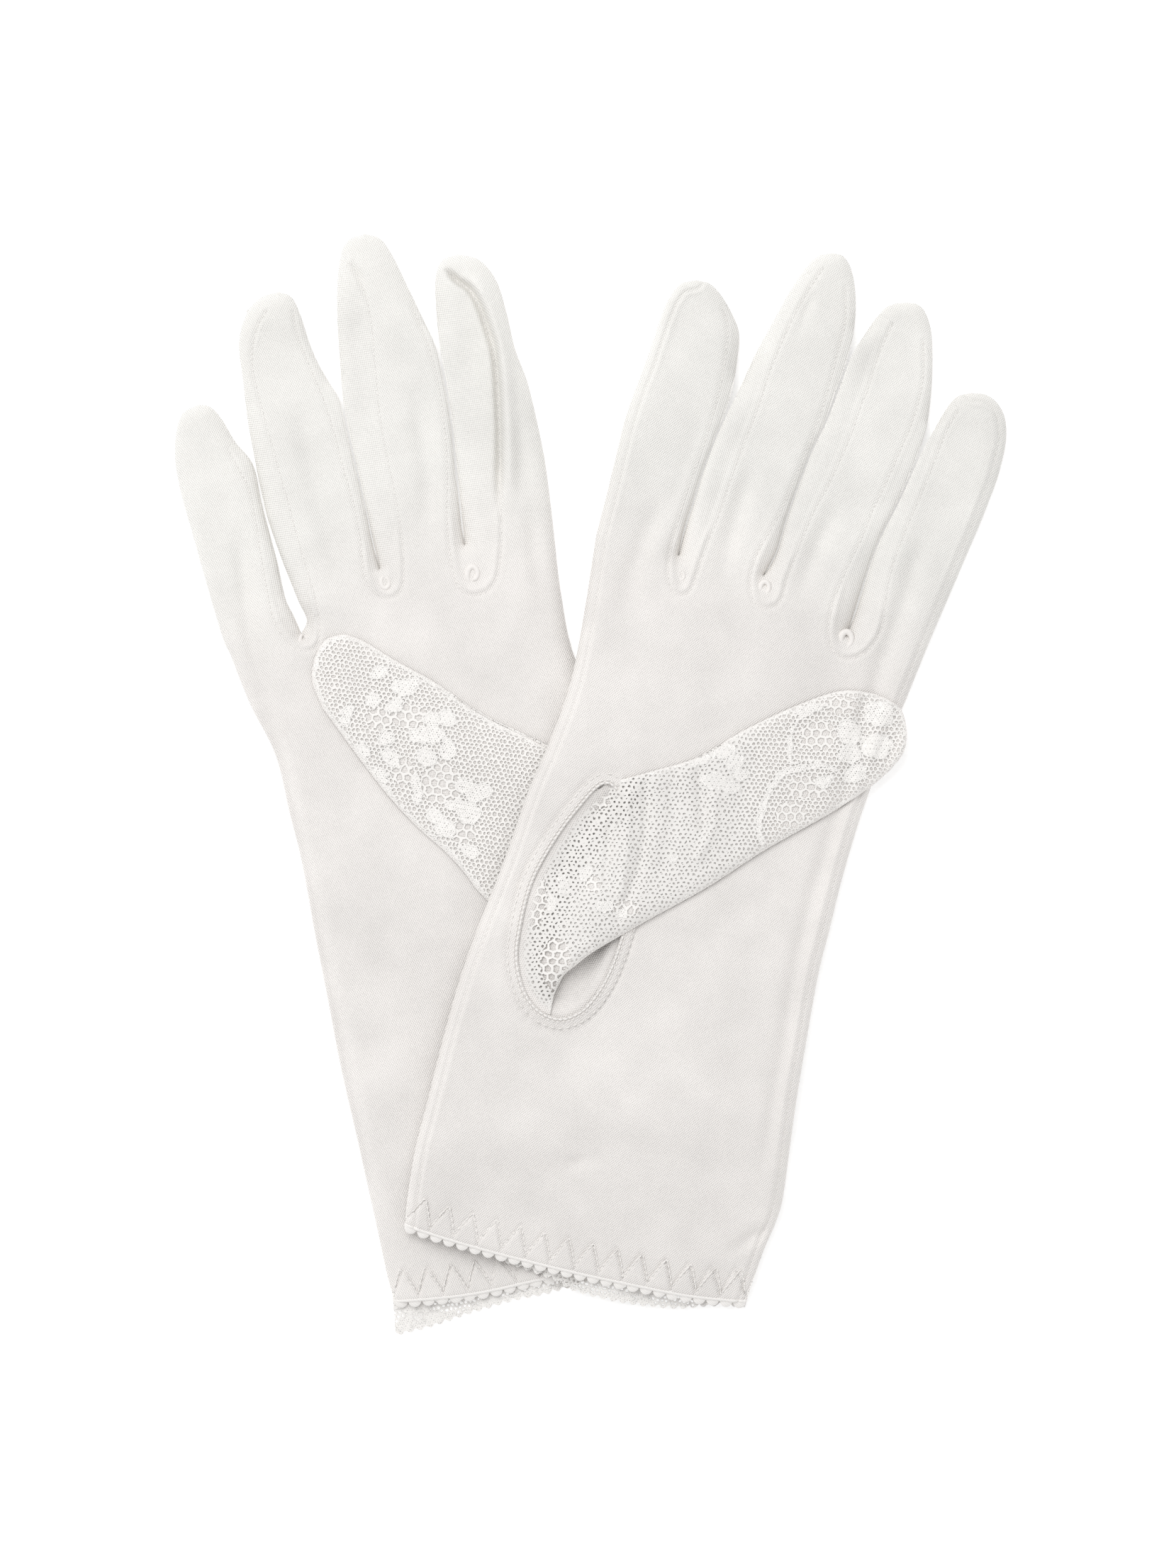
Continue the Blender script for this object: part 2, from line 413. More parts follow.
def closer_steps(count, spans):
    """Shares from 0 to 1, closer together within each (from, to, times) span: the inverse of the summed
    density."""
    x = np.linspace(0, 1, 2000)
    density = np.ones_like(x)
    for start, end, times in spans:
        density = np.where((x >= start) & (x <= end), times, density)
    total = np.concatenate([[0], np.cumsum((density[1:] + density[:-1]) / 2)])
    return np.interp(np.linspace(0, total[-1], count), total, x)


def turned(points, degrees):
    """Points turned clockwise by an angle, so that a leaning glove's cloth stands upright."""
    a = math.radians(degrees)
    return points @ np.array([[math.cos(a), -math.sin(a)], [math.sin(a), math.cos(a)]])


class Glove:
    """The outlines and the lie of one glove: everything that its pieces share."""

    def __init__(self, side):
        self.side, self.p = side, PATTERNS[side]
        p = self.p
        names = p["fingers"]
        roots = [p["left_edge"][-1], *p["feet"], p["right_edge"][-1]]
        self.left_edge, self.right_edge = spline(p["left_edge"], 400), spline(p["right_edge"], 400)
        self.hem, self.lace_hem = spline(p["hem"], 200), spline(p["lace_hem"], 200)
        self.roots = np.array(roots, float)
        self.edges = {}
        for i, name in enumerate(names):
            l, r = p["sides"][name]
            self.edges[name] = (spline([roots[i], *l], 240), spline([roots[i + 1], *r], 240))
        line = [self.left_edge[:-1:4]]
        for name in names:
            l, r = self.edges[name]
            line += [l[:-1:4], r[:0:-4]]
        line += [self.right_edge[::-4]]
        self.outline = np.concatenate(line)
        self.touching = []
        for one, two in zip(names[:-1], names[1:]):
            facing, across = self.edges[one][1][::3], self.edges[two][0]
            gap = np.linalg.norm(facing[:, None] - across, axis=2).min(1)
            self.touching.append(facing[:max(int(np.argmax(gap > SLIT_WIDE)), 8)])
        self.left_run = np.concatenate([self.left_edge, self.edges[names[0]][0][1:]])[::3]
        self.right_run = np.concatenate([self.right_edge, self.edges[names[-1]][1][1:]])[::3]
        self.welts = [spline(w, 260) for w in p["welts"]]
        if isinstance(p["rim"], tuple):
            x, y, a, b, turn = p["rim"]
            t = np.linspace(0, 2 * np.pi, 160, endpoint=False)
            oval = np.stack([-a * np.sin(t), b * np.cos(t)], 1)
            self.rim = turned(oval, -turn) + (x, y)
        else:
            self.rim = spline(p["rim"], 161, closed=True)[:-1]
        self.creases = [(spline(line, 60), width, depth) for line, width, depth in p["creases"]]
        self.base_field = None

    def base(self, xy):
        """What the glove lies on: the table, or the drape over the other glove, read from its grid."""
        if self.base_field is None:
            return np.zeros(len(xy))
        low, step, field = self.base_field
        g = (xy - low) / step
        i = np.clip(np.floor(g).astype(int), 0, np.array(field.shape) - 2)
        f = np.clip(g - i, 0, 1)
        at = lambda a, b: field[i[:, 0] + a, i[:, 1] + b]
        return ((at(0, 0) * (1 - f[:, 0]) + at(1, 0) * f[:, 0]) * (1 - f[:, 1])
                + (at(0, 1) * (1 - f[:, 0]) + at(1, 1) * f[:, 0]) * f[:, 1])

    def waves(self, xy):
        """The slack of the cloth: crossing sine waves of many sizes, the longer ones higher."""
        rng = np.random.default_rng(5 if self.side == "right" else 11)
        angle, size = rng.uniform(0, np.pi, WAVES), rng.uniform(*WAVE_SIZES, WAVES)
        phase = rng.uniform(0, 2 * np.pi, WAVES)
        way = np.stack([np.cos(angle), np.sin(angle)]) * 2 * np.pi / size
        return (np.sin(xy @ way + phase) * (size / WAVE_SIZES[1]) ** 0.8).sum(1) * WAVE_HEIGHT

    def edge_height(self, xy):
        """Height of the line where front and back meet: EDGE, and higher where two fingers touch."""
        gap = np.min([near(xy, line, reach=6)[0] for line in self.touching], axis=0)
        return EDGE + SLIT_RISE * (1 - smooth((gap - 1.5) / 3.5)) * smooth((self.past_roots(xy) - 1) / 15)

    def past_roots(self, xy):
        """How far a point is past the fingers' roots, along the glove: below nothing on the hand."""
        lean = math.radians(self.p["lean"])
        way, across = np.array([-math.sin(lean), math.cos(lean)]), np.array([math.cos(lean), math.sin(lean)])
        return xy @ way - np.interp(xy @ across, self.roots @ across, self.roots @ way)

    def front(self, xy, details=True):
        """Height of the knit front: from EDGE at the sides up a quarter ellipse to TOP, lower towards the
        hem, with waves and creases added and the welts' grooves cut in."""
        d, _ = near(xy, self.outline)
        h, along = near(xy, self.hem)
        past = self.past_roots(xy)
        edge = self.edge_height(xy)
        across = 1 - np.clip(d / (ROUND - 1.2 * smooth(past / 20)), 0, 1)
        mouth = smooth(h / MOUTH_RUN)
        top = MOUTH + (TOP - MOUTH) * mouth - FINGER_FALL * smooth((past + 8) / FALL_RUN)
        z = edge + (top - edge) * np.sqrt(np.maximum(1 - across**2, 0))
        inner = smooth(d / 5)
        z = z + self.waves(xy) * inner * (0.45 + 0.55 * mouth)
        for line, width, depth in self.creases:
            gap, along_crease = near(xy, line, reach=3 * width)
            left = length_of(line) - along_crease
            ends = smooth(along_crease / (5 * width)) * smooth(left / min(20 * width, 16))
            z = z + CREASE * depth * np.exp(-((gap / width) ** 2)) * smooth(d / 1.5) * ends
        if details:
            for line in self.welts:
                gap, _ = near(xy, line[::2], reach=4)
                inside = within(xy, line)
                ends = min(self.past_roots(line[[0, -1]]))
                foot = 1 - smooth((past - 4) / 5)
                z = z - WELT_DEPTH * np.exp(-((gap / WELT_WIDTH) ** 2)) * (1 + 0.6 * foot)
                z = z + 0.1 * np.exp(-(((gap - 0.9) / 0.5) ** 2)) * np.where(inside, 1 + 2.2 * foot, 0.4)
                short_of_tip = 1 - smooth((past - ends + 16) / 14)
                z = z - np.where(inside, STRIP_DEPTH * smooth((gap - 1.2 * foot) / 1.4), 0) * short_of_tip
            for inset, which in self.p["edge_seams"]:
                gap, _ = near(xy, self.left_run if which == "left" else self.right_run, reach=5)
                z = z - 0.4 * np.exp(-(((gap - inset) / 0.4) ** 2))
                z = z + 0.15 * np.exp(-(((gap - inset - 0.9) / 0.5) ** 2))
            gap, _ = near(xy, self.rim, closed=True, reach=6)
            z = z + RIM_RISE * (1 - smooth((gap - RIM_WIDE) / 0.5))
            z = z - 0.35 * np.exp(-(((gap - RIM_WIDE - 0.5) / 0.5) ** 2))
            z = z + self.points(h, along)
        return np.maximum(z, EDGE * 0.8) + self.base(xy)

    def points(self, above, along):
        """The cloth puffed up inside each point of the hem's stitching, and drawn in along the thread."""
        sizes = bpy.context.scene.glove_sizes
        edge = self.point_line(along)
        inside = edge - above
        puff = 0.38 * smooth(inside / 1.4) * smooth(above / 0.8)
        return np.where(above < sizes.point_rise / MM + 3, puff - 0.3 * np.exp(-((inside / 0.5) ** 2)), 0)

    def point_line(self, along):
        """How far above the hem its thread runs: a sharp arch, the 0.75 power of a triangle wave."""
        sizes = bpy.context.scene.glove_sizes
        t = np.abs(((along / (sizes.point_pitch / MM)) % 1) * 2 - 1)
        return 1.0 + (sizes.point_rise / MM - 1.0) * (1 - t) ** 0.85

    def back(self, xy):
        """Height of the lace back: flat on what it lies on, and curling up at its edge to meet the front."""
        d, _ = near(xy, self.outline)
        curl = (self.edge_height(xy) - 0.55) * (1 - smooth(d / CURL_RUN))
        return self.base(xy) + 0.3 + curl + self.waves(xy) * 0.06

    def thumb_line(self):
        """The closed outline of the thumb's lace half."""
        t = THUMBS[self.side]
        return np.concatenate([spline(t["top"], 80), spline(t["tip"], 40)[1:],
                               spline(t["bottom"], 80)[::-1][1:], spline(t["root"], 60)[::-1][1:-1]])

    def thumb(self, xy, rise):
        """Height of a layer of the folded thumb: rise 0 lies on the palm and 1 is the outer layer. It starts
        under the rim, sags into the hole, comes up over the far rim and lies a small gap above the palm."""
        t = THUMBS[self.side]
        free = np.concatenate([spline(t["top"], 80), spline(t["tip"], 40)[1:],
                               spline(t["bottom"], 80)[::-1][1:]])
        root = spline(t["root"], 60)
        d, _ = near(xy, free)
        from_root, _ = near(xy, root)
        in_hole = within(xy, self.rim)
        from_rim, _ = near(xy, self.rim, closed=True)
        lift = ROOT_DROP + (THUMB_GAP - ROOT_DROP) * smooth(from_root / 7)
        sag = np.where(in_hole, 1.9 * smooth(from_rim / 5), 0) * (1 - smooth((from_root - 7) / 8))
        rounded = np.sqrt(np.maximum(1 - (1 - np.clip(d / CURL_RUN, 0, 1)) ** 2, 0))
        body = THUMB_RISE * rounded * smooth((from_root - 1) / 6)
        palm = np.maximum(self.front(xy, details=False), self.base(xy) + TOP - 1.1)
        z = palm + lift - sag + rise * body
        if rise > 0:
            for line, width, depth in t["puckers"]:
                gap, _ = near(xy, spline(line, 40), reach=3 * width)
                z = z + depth * np.exp(-((gap / width) ** 2)) * smooth(d / 1.5)
        return z

    def finger_way(self, name):
        """Along a finger, level, square to its joint's axis."""
        joint = next(j for j in frame["joints"] if j["child"] == f"{self.side}_{name}_finger")
        axis = np.array(joint["axis"][:2], float)
        way = np.array([-axis[1], axis[0]])
        return way / np.linalg.norm(way)


GLOVES = {}


def gloves():
    """Both gloves, the upper one laid over the lower: its base is the lower glove's height carried outwards
    down a steady slope, which is the largest of (height - slope x distance), and then evened out."""
    if GLOVES:
        return GLOVES
    lower, upper = Glove("right"), Glove("left")
    step, low = 1.6, np.array([-102.0, -132.0])
    nx, ny = 128, 166
    gx, gy = np.meshgrid(low[0] + step * np.arange(nx), low[1] + step * np.arange(ny), indexing="ij")
    xy = np.stack([gx.ravel(), gy.ravel()], 1)
    ring = lower.outline
    height = np.where(within(xy, ring), lower.front(xy, details=False), 0)
    thumb = within(xy, lower.thumb_line())
    height = np.where(thumb, np.maximum(height, lower.thumb(xy, 1)), height).reshape(nx, ny)
    field = height.copy()
    moves = [(i, j) for i in (-1, 0, 1) for j in (-1, 0, 1) if i or j]
    for _ in range(110):
        padded = np.pad(field, 1, constant_values=-FAR)
        for i, j in moves:
            shifted = padded[1 + i:1 + i + nx, 1 + j:1 + j + ny] - DRAPE_SLOPE * step * math.hypot(i, j)
            field = np.maximum(field, shifted)
    for _ in range(14):
        padded = np.pad(field, 1, mode="edge")
        even = sum(padded[1 + i:1 + i + nx, 1 + j:1 + j + ny] for i, j in [*moves, (0, 0)]) / 9
        field = np.maximum(even, height)
    upper.base_field = (low, step, np.maximum(field, 0) + LIE_GAP)
    GLOVES.update(right=lower, left=upper)
    return GLOVES


# ---------------------------------------------------------------- meshes
def make_piece(name, points, faces, material, uv=None, fields=None, thickness=0.0):
    """Writes points in millimetres and faces into a mesh at the origin, smooth, with UVs in metres and any
    fields as point attributes. Open edges are sharp, so that a cloth's cut edge doesn't shade its face. A
    thickness in metres gives the cloth its wall."""
    mesh = bpy.data.meshes.new(name)
    faces = faces if isinstance(faces, list) else faces.tolist()
    mesh.from_pydata((np.asarray(points, float) * MM).tolist(), [], faces)
    mesh.polygons.foreach_set("use_smooth", np.ones(len(mesh.polygons), bool))
    if uv is not None:
        layer = mesh.uv_layers.new(name="cloth")
        corner = np.empty(len(mesh.loops), np.int32)
        mesh.loops.foreach_get("vertex_index", corner)
        layer.data.foreach_set("uv", (np.asarray(uv)[corner] * MM).astype(np.float32).ravel())
    for key, values in (fields or {}).items():
        mesh.attributes.new(key, "FLOAT", "POINT").data.foreach_set("value", np.asarray(values, np.float32))
    mesh.materials.append(material)
    mesh.update()
    sides = np.empty(len(mesh.loops), np.int32)
    mesh.loops.foreach_get("edge_index", sides)
    open_edge = np.bincount(sides, minlength=len(mesh.edges)) == 1
    mesh.attributes.new("sharp_edge", "BOOLEAN", "EDGE").data.foreach_set("value", open_edge)
    obj = bpy.data.objects.new(name, mesh)
    bpy.context.scene.collection.objects.link(obj)
    if thickness:
        wall = obj.modifiers.new("wall", "SOLIDIFY")
        wall.thickness, wall.offset = thickness, -1
    return obj


def grid_faces(rows, columns, flip=False):
    """The four-sided faces of a grid of points, facing up when rows run up and columns right."""
    i = np.arange(rows * columns).reshape(rows, columns)
    quads = np.stack([i[:-1, :-1], i[:-1, 1:], i[1:, 1:], i[1:, :-1]], -1).reshape(-1, 4)
    return quads[:, ::-1] if flip else quads


def used_only(points, faces, *others):
    """Leaves out the points that no face uses."""
    used = np.unique(faces)
    number = np.full(len(points), -1)
    number[used] = np.arange(len(used))
    return (points[used], number[faces], *[o[used] for o in others])


def cut_size(grid):
    """Width, length and area of a cloth laid flat, in metres: its longest row, its longest column and the
    sum of its faces, each as half the cross product of its diagonals."""
    across = np.linalg.norm(np.diff(grid, axis=1), axis=2).sum(1).max()
    along = np.linalg.norm(np.diff(grid, axis=0), axis=2).sum(0).max()
    one, two = grid[1:, 1:] - grid[:-1, :-1], grid[1:, :-1] - grid[:-1, 1:]
    area = np.linalg.norm(np.cross(one, two), axis=2).sum() / 2
    return (across * MM, along * MM), min(area * MM * MM, across * along * MM * MM)


def declare_sheet(xy, z, rows, rests_on, with_pieces=()):
    """States the flat size that a cloth was cut to, measured on the grid of its points."""
    flat, area = cut_size(np.column_stack([xy, z]).reshape(rows, -1, 3))


def thread(path, radius, sides):
    """Points and faces of a round cord along a line in space: a ring at each point, in the plane of the two
    directions square to the line, level and upright."""
    p = np.asarray(path, float)
    way = np.gradient(p, axis=0)
    way /= np.maximum(np.linalg.norm(way, axis=1, keepdims=True), 1e-9)
    level = np.cross(way, (0, 0, 1.0))
    level /= np.maximum(np.linalg.norm(level, axis=1, keepdims=True), 1e-9)
    up = np.cross(level, way)
    a = np.linspace(0, 2 * np.pi, sides, endpoint=False)[None, :, None]
    size = np.broadcast_to(np.asarray(radius, float), (len(p),))[:, None, None]
    rings = p[:, None] + size * (np.cos(a) * level[:, None] + np.sin(a) * up[:, None])
    n = len(p)
    i = np.arange(n * sides).reshape(n, sides)
    j = np.roll(i, -1, axis=1)
    quads = np.stack([i[:-1], j[:-1], j[1:], i[1:]], -1).reshape(-1, 4)
    ends = [i[0][::-1].tolist(), i[-1].tolist()]
    return rings.reshape(-1, 3), quads.tolist() + ends


def gather(parts):
    """Joins several (points, faces) into one."""
    points, faces, count = [], [], 0
    for p, f in parts:
        points.append(p)
        faces += [[k + count for k in face] for face in f]
        count += len(p)
    return np.concatenate(points), faces


def stitches(path, up, pitch, length, radius):
    """A row of small stitches along a line: each is a spindle of four rings of five points, thick in the
    middle and bowed upwards, all computed together."""
    p = np.asarray(path, float)
    run = np.concatenate([[0], np.cumsum(np.linalg.norm(np.diff(p, axis=0), axis=1))])
    count = max(int(run[-1] / pitch), 1)
    start = (np.arange(count) + 0.5) * run[-1] / count
    t = np.array([-0.5, -0.22, 0.22, 0.5])
    at = np.clip(start[:, None] + t * length, 0, run[-1])
    c = np.stack([np.interp(at, run, p[:, k]) for k in range(3)], -1)
    n = np.stack([np.interp(at, run, up[:, k]) for k in range(3)], -1)
    way = c[:, -1:] - c[:, :1]
    way /= np.maximum(np.linalg.norm(way, axis=2, keepdims=True), 1e-9)
    side = np.cross(way, n)
    c = c + n * (radius * np.array([0.1, 0.75, 0.75, 0.1])[None, :, None])
    a = np.linspace(0, 2 * np.pi, 5, endpoint=False)
    size = radius * np.array([0.3, 1, 1, 0.3])
    a, size = a[None, None, :, None], size[None, :, None, None]
    rings = c[:, :, None] + size * (np.cos(a) * side[:, :, None] + np.sin(a) * n[:, :, None])
    i = np.arange(count * 20).reshape(count, 4, 5)
    j = np.roll(i, -1, axis=2)
    quads = np.stack([i[:, :-1], j[:, :-1], j[:, 1:], i[:, 1:]], -1).reshape(-1, 4)
    ends = np.concatenate([i[:, 0, ::-1], i[:, -1]])
    return rings.reshape(-1, 3), quads.tolist() + ends.tolist()


def over(glove, xy, lift=0.0):
    """Points of a level line laid on a glove's front, and the cloth's upward direction at each."""
    xy = np.asarray(xy, float)
    e = 0.4
    z = glove.front(xy)
    dx = (glove.front(xy + (e, 0)) - glove.front(xy - (e, 0))) / (2 * e)
    dy = (glove.front(xy + (0, e)) - glove.front(xy - (0, e))) / (2 * e)
    up = np.stack([-dx, -dy, np.ones(len(xy))], 1)
    up /= np.linalg.norm(up, axis=1, keepdims=True)
    return np.column_stack([xy, z + lift]), up


# ---------------------------------------------------------------- materials
class Sums:
    """Math nodes of a tree as calls: m.add(a, b) of numbers or sockets gives the socket of their sum."""

    def __init__(self, tree):
        self.tree = tree

    def __getattr__(self, name):
        def make(*values):
            node = self.tree.nodes.new("ShaderNodeMath")
            node.operation = name.upper()
            for socket, value in zip(node.inputs, values):
                if isinstance(value, bpy.types.NodeSocket):
                    self.tree.links.new(value, socket)
                else:
                    socket.default_value = value
            return node.outputs[0]

        return make


def new_group(name, inputs, outputs):
    """A shader node group with the named sockets: gives the group, its inputs and its outputs."""
    group = bpy.data.node_groups.new(name, "ShaderNodeTree")
    for label, kind, value in inputs:
        socket = group.interface.new_socket(name=label, in_out="INPUT", socket_type=kind)
        if value is not None:
            socket.default_value = value
    for label, kind in outputs:
        group.interface.new_socket(name=label, in_out="OUTPUT", socket_type=kind)
    return group, group.nodes.new("NodeGroupInput").outputs, group.nodes.new("NodeGroupOutput").inputs


def add_node(tree, kind, links=(), **settings):
    """Adds a node, sets its properties, and links or sets its inputs by name."""
    node = tree.nodes.new(kind)
    for key, value in settings.items():
        setattr(node, key, value)
    for key, value in links:
        if isinstance(value, bpy.types.NodeSocket):
            tree.links.new(value, node.inputs[key])
        else:
            node.inputs[key].default_value = value
    return node


def two_colours(tree, factor, low, high):
    """A colour between two by a share."""
    node = tree.nodes.new("ShaderNodeMix")
    node.data_type = "RGBA"
    colours = [s for s in node.inputs if s.type == "RGBA"]
    tree.links.new(factor, node.inputs["Factor"])
    for socket, value in zip(colours, (low, high)):
        if isinstance(value, bpy.types.NodeSocket):
            tree.links.new(value, socket)
        else:
            socket.default_value = value
    return next(s for s in node.outputs if s.type == "RGBA")


STRIP_TURN = 0.6  # how far the weave is turned on the strips between the fingers, in radians
FLOAT, COLOUR, VECTOR = "NodeSocketFloat", "NodeSocketColor", "NodeSocketVector"


def weave_group():
    """Fine locknit: round stitches in rows, the product of two cosines, over slow shifts of tone."""
    group = bpy.data.node_groups.get("knit weave")
    if group:
        return group
    group, given, out = new_group(
        "knit weave",
        [("Vector", VECTOR, None), ("Place", VECTOR, None), ("Pitch", FLOAT, 0.0005), ("Strip", FLOAT, 0.0),
         ("Light", COLOUR, None), ("Shade", COLOUR, None)],
        [("Color", COLOUR), ("Height", FLOAT), ("Roughness", FLOAT)])
    m, links = Sums(group), group.links
    xyz = add_node(group, "ShaderNodeSeparateXYZ", [("Vector", given["Vector"])]).outputs
    turn = 2 * math.pi
    slant = m.multiply(m.greater_than(given["Strip"], 0.5), STRIP_TURN)
    c, s = m.cosine(slant), m.sine(slant)
    x = m.add(m.multiply(xyz[0], c), m.multiply(xyz[1], s))
    y = m.subtract(m.multiply(xyz[1], c), m.multiply(xyz[0], s))
    u = m.multiply(m.divide(x, given["Pitch"]), turn)
    v = m.multiply(m.divide(y, given["Pitch"]), turn * 0.72)
    dots = m.add(m.multiply(m.multiply(m.cosine(u), m.cosine(v)), 0.5), 0.5)
    tone = add_node(group, "ShaderNodeTexNoise", [("Vector", given["Place"]), ("Scale", 55.0),
                                                  ("Detail", 4.0), ("Roughness", 0.62)]).outputs[0]
    fuzz = add_node(group, "ShaderNodeTexNoise", [("Vector", given["Place"]), ("Scale", 2600.0),
                                                  ("Detail", 1.0)]).outputs[0]
    share = m.add(m.multiply(dots, 0.9), m.add(m.multiply(tone, 0.95), m.multiply(fuzz, 0.3)))
    clamp = m.minimum(m.maximum(m.subtract(share, 0.55), 0.0), 1.0)
    links.new(two_colours(group, clamp, given["Shade"], given["Light"]), out["Color"])
    links.new(m.add(m.multiply(dots, 0.8), m.multiply(fuzz, 0.35)), out["Height"])
    links.new(m.add(m.multiply(tone, 0.2), 0.66), out["Roughness"])
    return group


def net_group():
    """Lace: a six-sided net whose threads are where a point is close to its cell's edge, a wider net where
    the pattern is coarse, and close cloth wherever the motif's depth is above nothing, with a raised
    outline."""
    group = bpy.data.node_groups.get("lace net")
    if group:
        return group
    group, given, out = new_group("lace net", [("Vector", VECTOR, None), ("Pitch", FLOAT, 0.00105),
                                               ("Thread", FLOAT, 0.185), ("Motif", FLOAT, -1.0),
                                               ("Coarse", FLOAT, 0.0), ("Light", COLOUR, None),
                                               ("Shade", COLOUR, None)],
                                  [("Color", COLOUR), ("Alpha", FLOAT), ("Height", FLOAT)])
    m, links = Sums(group), group.links
    wander = add_node(group, "ShaderNodeTexNoise",
                      [("Vector", given["Vector"]), ("Scale", 420.0), ("Detail", 1.0)])
    knots = add_node(group, "ShaderNodeTexNoise", [("Vector", given["Vector"]), ("Scale", 1100.0),
                                                   ("Detail", 2.0)])
    tangle = m.subtract(knots.outputs[0], 0.5)
    off = add_node(group, "ShaderNodeVectorMath", [(0, wander.outputs["Color"]), (1, (0.5, 0.5, 0.5))],
                   operation="SUBTRACT")
    off = add_node(group, "ShaderNodeVectorMath", [(0, off.outputs[0]), ("Scale", 0.0011)],
                   operation="SCALE")
    moved = add_node(group, "ShaderNodeVectorMath", [(0, given["Vector"]), (1, off.outputs[0])],
                     operation="ADD")
    xyz = add_node(group, "ShaderNodeSeparateXYZ", [("Vector", moved.outputs[0])]).outputs
    root3 = math.sqrt(3)

    def from_edge(pitch):
        """0 at a six-sided cell's edge and 0.5 at its middle, in cell widths."""
        x, y = m.divide(xyz[0], pitch), m.divide(xyz[1], m.multiply(pitch, root3))
        cells = []
        for shift in (0.0, 0.5):
            a = m.absolute(m.subtract(m.fract(m.add(x, shift)), 0.5))
            b = m.absolute(m.multiply(m.subtract(m.fract(m.add(y, shift)), 0.5), root3))
            cells.append(m.maximum(a, m.add(m.multiply(a, 0.5), m.multiply(b, root3 / 2))))
        return m.subtract(0.5, m.minimum(*cells))

    def solid(edge, thread, soft):
        """One on a thread of the given half width and nothing off it, over a soft edge."""
        return m.minimum(m.maximum(m.add(m.divide(m.subtract(thread, edge), soft), 0.5), 0.0), 1.0)

    fine = from_edge(given["Pitch"])
    wide = from_edge(m.multiply(given["Pitch"], 1.9))
    close = from_edge(m.multiply(given["Pitch"], 0.52))
    closer = m.maximum(m.multiply(given["Coarse"], -1.0), 0.0)
    strand = m.absolute(m.subtract(m.fract(m.divide(xyz[0], 0.0013)), 0.5))
    strand = m.multiply(solid(m.subtract(0.5, strand), m.add(0.13, m.multiply(tangle, 0.6)), 0.08), closer)
    thread = m.add(given["Thread"], m.multiply(tangle, 0.3))
    net = m.maximum(solid(fine, m.add(thread, m.multiply(closer, 0.09)), 0.09), strand)
    open_net = solid(wide, m.multiply(thread, 0.75), 0.06)
    coarse = m.greater_than(given["Coarse"], 0.5)
    mesh = m.add(m.multiply(net, m.subtract(1.0, coarse)), m.multiply(open_net, coarse))
    ragged = m.add(m.multiply(m.subtract(wander.outputs[0], 0.5), 0.0018), m.multiply(tangle, 0.0016))
    depth = m.add(given["Motif"], ragged)
    petal = m.minimum(m.maximum(m.multiply(m.add(depth, 0.00006), 5000.0), 0.0), 1.0)
    rim = m.subtract(1.0, m.minimum(m.absolute(m.multiply(m.subtract(depth, 0.00035), 3300.0)), 1.0))
    filling = solid(close, m.add(0.38, m.multiply(tangle, 0.5)), 0.2)
    motif = m.multiply(petal, m.maximum(filling, m.multiply(rim, 0.9)))
    pick = m.add(m.multiply(m.cosine(m.multiply(xyz[0], 2 * math.pi / 0.00042)), 0.5), 0.5)
    links.new(m.maximum(mesh, motif), out["Alpha"])
    relief = m.add(0.4, m.add(m.multiply(pick, 0.25), m.multiply(rim, 0.7)))
    height = m.add(m.multiply(mesh, 0.35), m.multiply(motif, relief))
    links.new(height, out["Height"])
    raised = m.maximum(m.subtract(m.add(0.3, m.multiply(height, 0.9)), m.multiply(closer, 0.65)), 0.0)
    links.new(two_colours(group, m.minimum(raised, 1.0), given["Shade"], given["Light"]),
              out["Color"])
    return group


def start_material(name):
    """A new material with its shader node: its tree, its shader and its nodes' shortcut."""
    material = bpy.data.materials.new(name)
    material.use_nodes = True
    tree = material.node_tree
    return material, tree, tree.nodes["Principled BSDF"]


def rgba(colour, shade=1.0):
    """A colour with its alpha, darkened by a factor."""
    return (*(c * shade for c in colour), 1.0)


def knit(name="knit cloth", fold=1.0):
    """Nylon knit: the weave group, its colours shaded by the fold, and a soft even sheen."""
    if name in bpy.data.materials:
        return bpy.data.materials[name]
    sizes = bpy.context.scene.glove_sizes
    material, tree, shader = start_material(name)
    uv = add_node(tree, "ShaderNodeUVMap", uv_map="cloth").outputs[0]
    place = add_node(tree, "ShaderNodeTexCoord").outputs["Object"]
    weave = add_node(tree, "ShaderNodeGroup", node_tree=weave_group())
    for key, value in (("Vector", uv), ("Place", place)):
        tree.links.new(value, weave.inputs[key])
    weave.inputs["Pitch"].default_value = sizes.weave_pitch
    pale = add_node(tree, "ShaderNodeAttribute", attribute_name="pale").outputs["Fac"]
    strip = add_node(tree, "ShaderNodeAttribute", attribute_name="strip").outputs["Fac"]
    tree.links.new(strip, weave.inputs["Strip"])
    for key, shade in (("Light", fold), ("Shade", 0.73 * fold)):
        colour = two_colours(tree, pale, rgba(sizes.knit_colour, shade), rgba(sizes.finger_colour, shade))
        tree.links.new(colour, weave.inputs[key])
    bump = add_node(tree, "ShaderNodeBump", [("Height", weave.outputs["Height"]), ("Strength", 0.9),
                                             ("Distance", 0.0002)])
    for key, value in (("Base Color", weave.outputs["Color"]), ("Roughness", weave.outputs["Roughness"]),
                       ("Normal", bump.outputs[0])):
        tree.links.new(value, shader.inputs[key])
    shader.inputs["Sheen Weight"].default_value = 0.12
    shader.inputs["Sheen Roughness"].default_value = 0.45
    shader.inputs["Specular IOR Level"].default_value = 0.25
    return material


